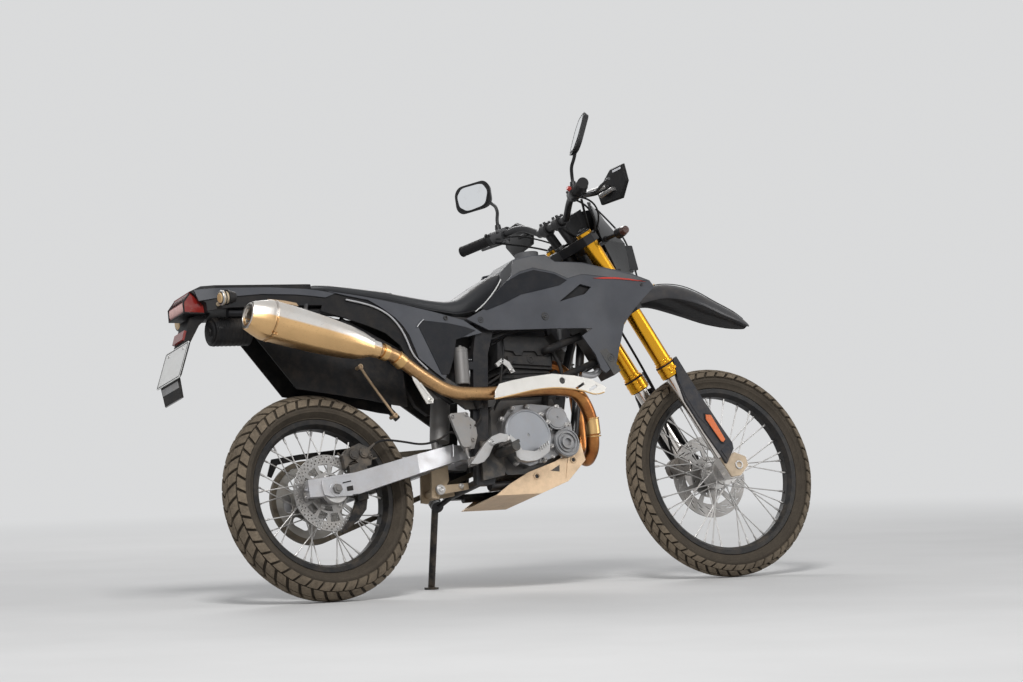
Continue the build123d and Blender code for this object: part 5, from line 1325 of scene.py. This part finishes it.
lamp_glow = Form().prism([(-397.5, 938), (-399.5, 930), (-399.8, 916), (-397.5, 912)], -47, 47)
lamp_glow.make("tail_lamp_strip", "red_lens", clear_surface("tail_pink", (0.75, 0.42, 0.38), 0.2), bevel=0.8)
lamp_edges = Form().plates([(-374, 969), (-399, 941), (-401, 905), (-397, 904), (-395, 939), (-372, 965)],
                           51.5, 3.5)
lamp_edges.prism([(-396, 908), (-401, 908), (-401, 903), (-330, 901), (-330, 905)], -55, 55)
for x, z in ((-395 + 4.2 * k, 944 + 4.6 * k) for k in range(5)):
    lamp_edges.prism([(x, z), (x + 2, z + 1.6), (x + 7, z), (x + 5, z - 1.6)], -46, 46)
lamp_edges.make("tail_lamp_frame", "black_plastic", bevel=0.6)
cut_sheet("plate_border", "plate_white", [rounded_box(79, 58, 6), rounded_box(77, 56, 5)], 1.9, 2.7, on_plate,
          flat_on, edge=0.1, material=MATERIALS["black_plastic"])
plate_screws = Form(on_plate).bolts([(-52, 44, 2.0), (52, 44, 2.0)], (0, 0, 1), 4.5, 2.2)
plate_screws.make("plate_screws", "hub_alloy", bevel=0.3)
cut_sheet("plate_holder", "black_plastic", [rounded_box(84, 59, 9), rounded_box(81, 56.5, 7)], -3.0, 1.4,
          on_plate, flat_on, edge=0.8)
flap = Form().prism([(-454.5, 692), (-448.6, 637), (-447.0, 637), (-452.9, 692)], -58, 58)
flap.make("mud_flap_face", "black_plastic", bevel=0.6,
          material=surface("mud_flap_grey", (0.34, 0.34, 0.34), 0.6, grain=0.4, dust=0.4))
ribs = Form().rod((-313, -42, 846), (-318, -42, 846), 36, 30, sides=36)
ribs.rod((-318, -42, 846), (-322, -42, 846), 14, 12, sides=24)
for x in range(-306, -193, 14):
    ribs.rod((x, -42, 846), (x + 5, -42, 846), 44.4, sides=40)
ribs.make("canister_ribs", "black_plastic", bevel=1.2)

# ---- indicators -----------------------------------------------------------------------
rear_shells = Form().rods((-308, 152, 924.4), (-322, 152, 923.7), 23.4, 19.5, sides=36)
rear_shells.rods((-272, 152, 926.2), (-300, 152, 924.8), 15, 24.6, sides=36)
rear_shells.rods((-292, 128, 923.6), (-292, 142, 924), 9, 12, sides=24)
rear_shells.make("rear_indicator_shells", "black_plastic", bevel=1.2)
rear_rims = Form().rods((-317, 152, 923.9), (-321, 152, 923.7), 23, 22, sides=40, hollow=18.5)
rear_rims.make("rear_indicator_rims", "hub_alloy", bevel=0.6)
rear_lenses = Form().rods((-318, 152, 923.9), (-325, 152, 923.5), 18.4, 14.5, sides=40)
rear_lenses.make("rear_indicator_lenses", "indicator_lens",
                 reflector("amber_glow", (0.62, 0.42, 0.2), rough=0.22), bevel=1.5)
front_shells = Form(steered).rods((1131, 186, 1112), (1133, 214, 1113), 18.6, 16.4, sides=30)
for end, *radii in (((1130, 190, 1112), 7, 6), ((1128.4, 118, 1113.6), 11, 9)):
    front_shells.rods((1128, 108.2, 1114), end, *radii, sides=18)
front_shells.make("front_indicator_shells", "mirror_shell", replaces=("front_indicators",), bevel=1.0)
front_lenses = Form(steered).rods((1133, 213, 1113), (1134, 231, 1114), 16.0, 12.4, sides=30)
front_lenses.make("front_indicator_lenses", "amber_lens", reflector("smoked_amber", (0.075, 0.022, 0.012)),
                  bevel=1.5)

# ---- brake calipers and pedals --------------------------------------------------------
# each row: outline, right side, left side
REAR_CALIPER = [([(58, 392), (54, 436), (74, 456), (118, 472), (150, 456), (158, 430), (150, 402), (118, 396),
                  (96, 420), (76, 412)], -88, -70),
                ([(60, 400), (58, 436), (118, 468), (154, 440), (146, 404), (110, 400)], -62.5, -48),
                ([(112, 448), (118, 472), (156, 444), (150, 416)], -88, -48),
                ([(70, 345), (130, 352), (132, 404), (112, 412), (70, 402)], -91.5, -79)]
CONTROLS = [([(458, 376), (490, 408), (522, 440), (548, 460), (580, 470), (606, 464), (617, 450), (612, 440),
              (581, 441), (552, 434), (527, 398), (506, 380), (482, 374)], -165, -150),
            ([(604, 444), (612, 462), (634, 442), (648, 410), (640, 396), (624, 398)], -171, -160),
            ([(618, 404), (640, 410), (688, 404), (716, 416), (738, 430), (746, 424), (742, 402), (716, 386),
              (690, 375), (656, 372), (630, 378), (618, 390)], -180, -162)]
MASTER_CYLINDER = [([(428, 540), (434, 546), (490, 549), (497, 544), (495, 500), (491, 444), (484, 436),
                     (464, 436), (456, 444), (440, 496)], -131, -120),
                   ([(440, 545), (500, 540), (524, 520), (524, 474), (506, 434), (470, 428)], -120.5, -110.4),
                   ([(470, 372), (492, 376), (492, 402), (472, 400)], -152, -124)]


def prisms(table):
    """A form begun with the plates of a table."""
    form = Form()
    for outline, low, high in table:
        form.prism(outline, low, high)
    return form


caliper = prisms(REAR_CALIPER)
for x, z in ((92, 436), (128, 440)):
    caliper.rod((x, -88, z), (x, -94, z), 17, 15, sides=32)
    caliper.rod((x, -94, z), (x, -96, z), 12, 11, sides=6)
caliper.bolts([(x, -91.5, z) for x, z in ((76, 360), (122, 366), (150, 428))], RIGHT, 6, 5)
caliper.rod((150, -80, 452), (176, -80, 470), 5, 4, sides=14)
caliper.rod((60, -76, 430), (44, -76, 446), 4.5, 3, sides=12)
caliper.rod((60, -76, 408), (176, -84, 424), 3.2, sides=12)
caliper.make("rear_caliper_body", "brake_alloy", replaces=("rear_caliper",), bevel=1.6,
             material=surface("caliper_cast", (0.055, 0.05, 0.045), 0.45, 0.5, spread=0.1, grain=0.5,
                              dust=0.4, scratch=0.2))
tubes("rear_brake_line", "black_rubber",
      [(3.4, [(176, -80, 470), (200, -84, 482), (260, -100, 470), (330, -112, 452), (400, -108, 470),
              (440, -112, 500), (462, -116, 470)])])
controls = prisms(CONTROLS)
controls.rod((545, -122.3, 440), (545, -166.5, 440), 12, 11, sides=28)
controls.bolt((545, -166.5, 440), RIGHT, 8, 4)
for k in range(5):
    x = 706 + 8 * k
    controls.prism([(x, 404 + 4.6 * k), (x + 4, 405 + 4.6 * k), (x + 2, 418 + 4.4 * k),
                    (x - 2, 416 + 4.4 * k)],
                   -183, -179)
controls.rod((832, 166, 436), (832, 200, 436), 6, sides=18)
controls.make("brake_pedal", "pedal_alloy", replaces=("foot_controls",), bevel=2.4, segments=3)
rubber = Form()
for y in range(170, 195, 8):
    rubber.rod((836, y, 436), (836, y + 4, 436), 8)
rubber.make("gear_lever_rubber", "black_rubber", bevel=1.0)
tubes("gear_lever", "pedal_alloy",
      [(6.5, [(700, 104.3, 428), (700, 126, 428), (706, 142, 429), (740, 156, 430), (800, 163, 434),
              (836, 166, 436)])])
master = prisms(MASTER_CYLINDER)
master.rod((474, -122, 438), (478, -122, 408), 6, 5, sides=16)
master.rod((478, -122, 408), (484, -128, 392), 4, sides=12)
master.bolts([(438, -130, 536), (488, -130, 540), (500, -120.5, 506), (504, -120.5, 462)], RIGHT, 6.5, 5)
master.make("rear_master_cylinder", "pedal_alloy", bevel=2.0,
            material=surface("cast_guard", (0.27, 0.262, 0.255), 0.45, 0.7, spread=0.12, grain=0.6, dust=0.4,
                             scratch=0.2))
fluid_cup = Form().rod((548, -118, 560), (540, -118, 600), 14, 16, sides=28)
fluid_cup.rod((540, -118, 600), (539, -118, 606), 17.5, 17, sides=28)
fluid_cup.make("brake_fluid_cup", "black_plastic", bevel=1.0)
tubes("fluid_hose", "black_rubber",
      [(4, [(548, -118, 560), (552, -118, 540), (540, -120, 520), (520, -120, 505)])])
caliper_details = Form(steered)
for dx, dz in ((-8, -16), (6, 14)):
    x, z = WHEELBASE - 114 + dx, FRONT_AXLE_Z + 36 + dz
    caliper_details.rod((x, 41, z), (x, 38, z), 15, 13, sides=28)
    caliper_details.rod((x, 95, z), (x, 98, z), 15, 13, sides=28)
caliper_details.bolt((WHEELBASE - 140, 94.5, FRONT_AXLE_Z + 42), LEFT, 5, 4)
caliper_details.bolt((WHEELBASE - 140, 41.5, FRONT_AXLE_Z + 42), RIGHT, 5, 4)
caliper_details.make("front_caliper_details", "brake_alloy", bevel=0.8)

# ---- skid plate, linkage, reservoir and stays -----------------------------------------
skid_rings, skid_dark = Form(), Form()
for x, z in ((722, 338), (866, 386)):
    skid_rings.rods((x, 112.2, z), (x, 114.4, z), 12, 11, sides=28, hollow=7.5)
    skid_dark.side_bolts([(x, 112.1, z)], 5, 1.6)
skid_rings.plates([(828, 328), (832, 328), (852, 398), (848, 398)], 112.2, 1.6)
skid_rings.make("skid_plate_rings", "skid_alloy", bevel=0.8)
# The dark triangle stands for a hole through the plate: painted shade where one looks into it; the bolts in the
# rings are dark steel.
skid_dark.plates([(776, 354), (812, 372), (808, 350)], 112.1, 0.9)
skid_dark.make("skid_plate_bolts_and_hole_shade", "peg_steel", bevel=0.3)
inner = Form().prism([(838, 600), (905, 566), (932, 640), (905, 700), (862, 686), (848, 640)], -40, 40)
inner.make("engine_front_cover", "engine_dark", bevel=4.0)
AIR_BOX = [(408, 736), (556, 742), (548, 640), (520, 596), (470, 588), (430, 620), (404, 676)]
for name, low, high in (("air_box_side_right", -87.5, -66), ("air_box_side_left", 66, 87.5)):
    Form().prism(AIR_BOX, low, high).make(name, "black_plastic", bevel=3.0)
link_bolts = Form()
for x, z, r in ((402, 322, 17), (478, 330, 9)):
    link_bolts.rods((x, 50, z), (x, 58, z), r, r - 2, sides=30)
    link_bolts.side_bolts([(x, 58, z)], r * 0.6, 5)
link_bolts.make("linkage_bolts", "hub_alloy", bevel=0.8)
top = Vector((514, -112, 755))
foot = Vector((504, -112, 640))
run = (top - foot).normalized()
reservoir = Form().rod(top, top + run * 5, 20, 17, sides=36)
reservoir.rod(top + run * 5, top + run * 12, 6, 5, sides=18)
for s, r in ((2, 23.5), (10, 23.4), (104, 23.5), (112, 23.4)):
    reservoir.rod(foot + run * s, foot + run * (s + 1.6), r, sides=40)
reservoir.make("reservoir_caps", "shock_steel", bevel=0.5)
tubes("tail_stay", "silencer_steel",
      [(4.2, [(169, -72, 719), (197, -72, 670), (221, -72, 632), (260, -72, 571), (270, -72, 555)])],
      material=DUSTY_STEEL)
stay_ends = Form().bolts([(170, -77, 717), (268, -77, 558)], RIGHT, 7, 3)
for x, z in ((170, 717), (268, 558)):
    stay_ends.rod((x, -77, z), (x, -44, z), 6)
stay_ends.make("tail_stay_ends", "silencer_steel", DUSTY_STEEL, bevel=0.6)
clamp = Form().prism([(279, 655), (295, 644), (345, 579), (340, 566), (318, 564), (282, 640)], -192, -188)
clamp.prism([(300, 628), (306, 633), (332, 594), (326, 590)], -193.4, -191.8)
clamp.bolt((331, -192, 576), RIGHT, 7, 5)
clamp.make("exhaust_clamp_plate", "shield_alloy", bevel=0.8)
strip = Form().prism([(-156, 921), (-100, 915), (-59, 907), (-52, 896), (-100, 905), (-151, 917)], -143, -139)
strip.make("silencer_guard_strip", "silencer_steel", DUSTY_STEEL, bevel=0.8)

# ---- floor, light and camera ----------------------------------------------------------
CAMERA_FROM_AXLE = Vector((-5.579, -10.259, 0.698))     # from the ground under the rear axle
REAR_AXLE_TO_GROUND = Vector((0.0, 0.0784, 0.3162))
YAW, PITCH, ROLL = (math.radians(v) for v in (31.30, -0.41, -1.55))
FOCAL_PIXELS = 3823.0
IMAGE_WIDTH = 1023.0
SENSOR = 36.0
BACKDROP = (0.70, 0.705, 0.71)
SKY, SKY_STRENGTH = (0.93, 0.95, 1.0, 1), 0.36
LIT_SPOT = Vector((0, 0, 0.6))
# name, place, width and height in metres, power in watts
LIGHTS = (("key", (-2.5, -4.5, 5.5), 1.7, 1.6, 330), ("fill", (5.5, -4.0, 2.6), 2.6, 2.6, 80),
          ("back", (1.5, 5.0, 4.0), 4.0, 2.5, 150))
FLOOR_REACH = 40.0
FADE_FROM, FADE_TO = 2.2, 7.5

ground = joint_place("rear_wheel_spin") - REAR_AXLE_TO_GROUND
look = Vector((math.sin(YAW) * math.cos(PITCH), math.cos(YAW) * math.cos(PITCH), -math.sin(PITCH)))
right = Vector((math.cos(YAW), -math.sin(YAW), 0))
up = right.cross(look)
right, up = math.cos(ROLL) * right + math.sin(ROLL) * up, math.cos(ROLL) * up - math.sin(ROLL) * right
camera_data = bpy.data.cameras.new("camera")
camera_data.sensor_width = SENSOR
camera_data.lens = FOCAL_PIXELS / IMAGE_WIDTH * SENSOR
camera_data.clip_end = 200
camera = bpy.data.objects.new("camera", camera_data)
camera.matrix_world = basis(right, up, -look, ground + CAMERA_FROM_AXLE)
scene.collection.objects.link(camera)
scene.camera = camera
for name, place, width, height, power in LIGHTS:
    lamp = bpy.data.lights.new(name, "AREA")
    lamp.shape = "RECTANGLE"
    lamp.size, lamp.size_y, lamp.energy = width, height, power
    light = bpy.data.objects.new(name, lamp)
    light.location = place
    light.rotation_euler = (LIT_SPOT - Vector(place)).to_track_quat("-Z", "Y").to_euler()
    scene.collection.objects.link(light)


def seen_directly(tree):
    """One for rays that show the background: straight from the camera, or by gloss and glass."""
    path = tree.nodes.new("ShaderNodeLightPath")
    total = path.outputs["Is Camera Ray"]
    for name in ("Is Glossy Ray", "Is Transmission Ray"):
        most = tree.nodes.new("ShaderNodeMath")
        most.operation = "MAXIMUM"
        tree.links.new(total, most.inputs[0])
        tree.links.new(path.outputs[name], most.inputs[1])
        total = most.outputs[0]
    return total


world = bpy.data.worlds.new("studio")
world.use_nodes = True
sky = world.node_tree
light_of_sky = sky.nodes["Background"]
light_of_sky.inputs["Color"].default_value = SKY
light_of_sky.inputs["Strength"].default_value = SKY_STRENGTH
look_of_sky = sky.nodes.new("ShaderNodeBackground")
look_of_sky.inputs["Color"].default_value = (*BACKDROP, 1)
sky_mix = sky.nodes.new("ShaderNodeMixShader")
for source, socket in zip((seen_directly(sky), light_of_sky.outputs[0], look_of_sky.outputs[0]),
                          sky_mix.inputs):
    sky.links.new(source, socket)
sky.links.new(sky_mix.outputs[0], sky.nodes["World Output"].inputs["Surface"])
scene.world = world
scene.view_settings.view_transform = "Standard"

# The floor fades into the backdrop's own colour away from the bike, so that no horizon shows.
floor_mesh = bpy.data.meshes.new("floor")
corners = [(x * FLOOR_REACH, y * FLOOR_REACH, 0) for x, y in ((-1, -1), (1, -1), (1, 1), (-1, 1))]
floor_mesh.from_pydata(corners, [], [(0, 1, 2, 3)])
floor = bpy.data.objects.new("floor", floor_mesh)
scene.collection.objects.link(floor)
t = Tree("floor", specular=0.2)
t.set("Base Color", t.mix(t.ramp(t.noise(1.5), 0.3, 0.7), (0.56, 0.557, 0.55), (0.6, 0.597, 0.59)))
t.set("Roughness", 0.85)
far_off = t.node("ShaderNodeVectorMath", operation="LENGTH")
t.put(far_off.inputs[0], t.where)
fade = t.ramp(far_off.outputs["Value"], FADE_FROM, FADE_TO, interpolation="SMOOTHSTEP")
glow = t.node("ShaderNodeEmission")
t.put(glow.inputs["Color"], BACKDROP)
blend = t.node("ShaderNodeMixShader")
shares = (t.math("MULTIPLY", fade, seen_directly(t.tree)), t.shader.outputs[0], glow.outputs[0])
for source, socket in zip(shares, blend.inputs):
    t.put(socket, source)
t.put(t.tree.nodes["Material Output"].inputs["Surface"], blend.outputs[0])
floor_mesh.materials.append(t.mat)
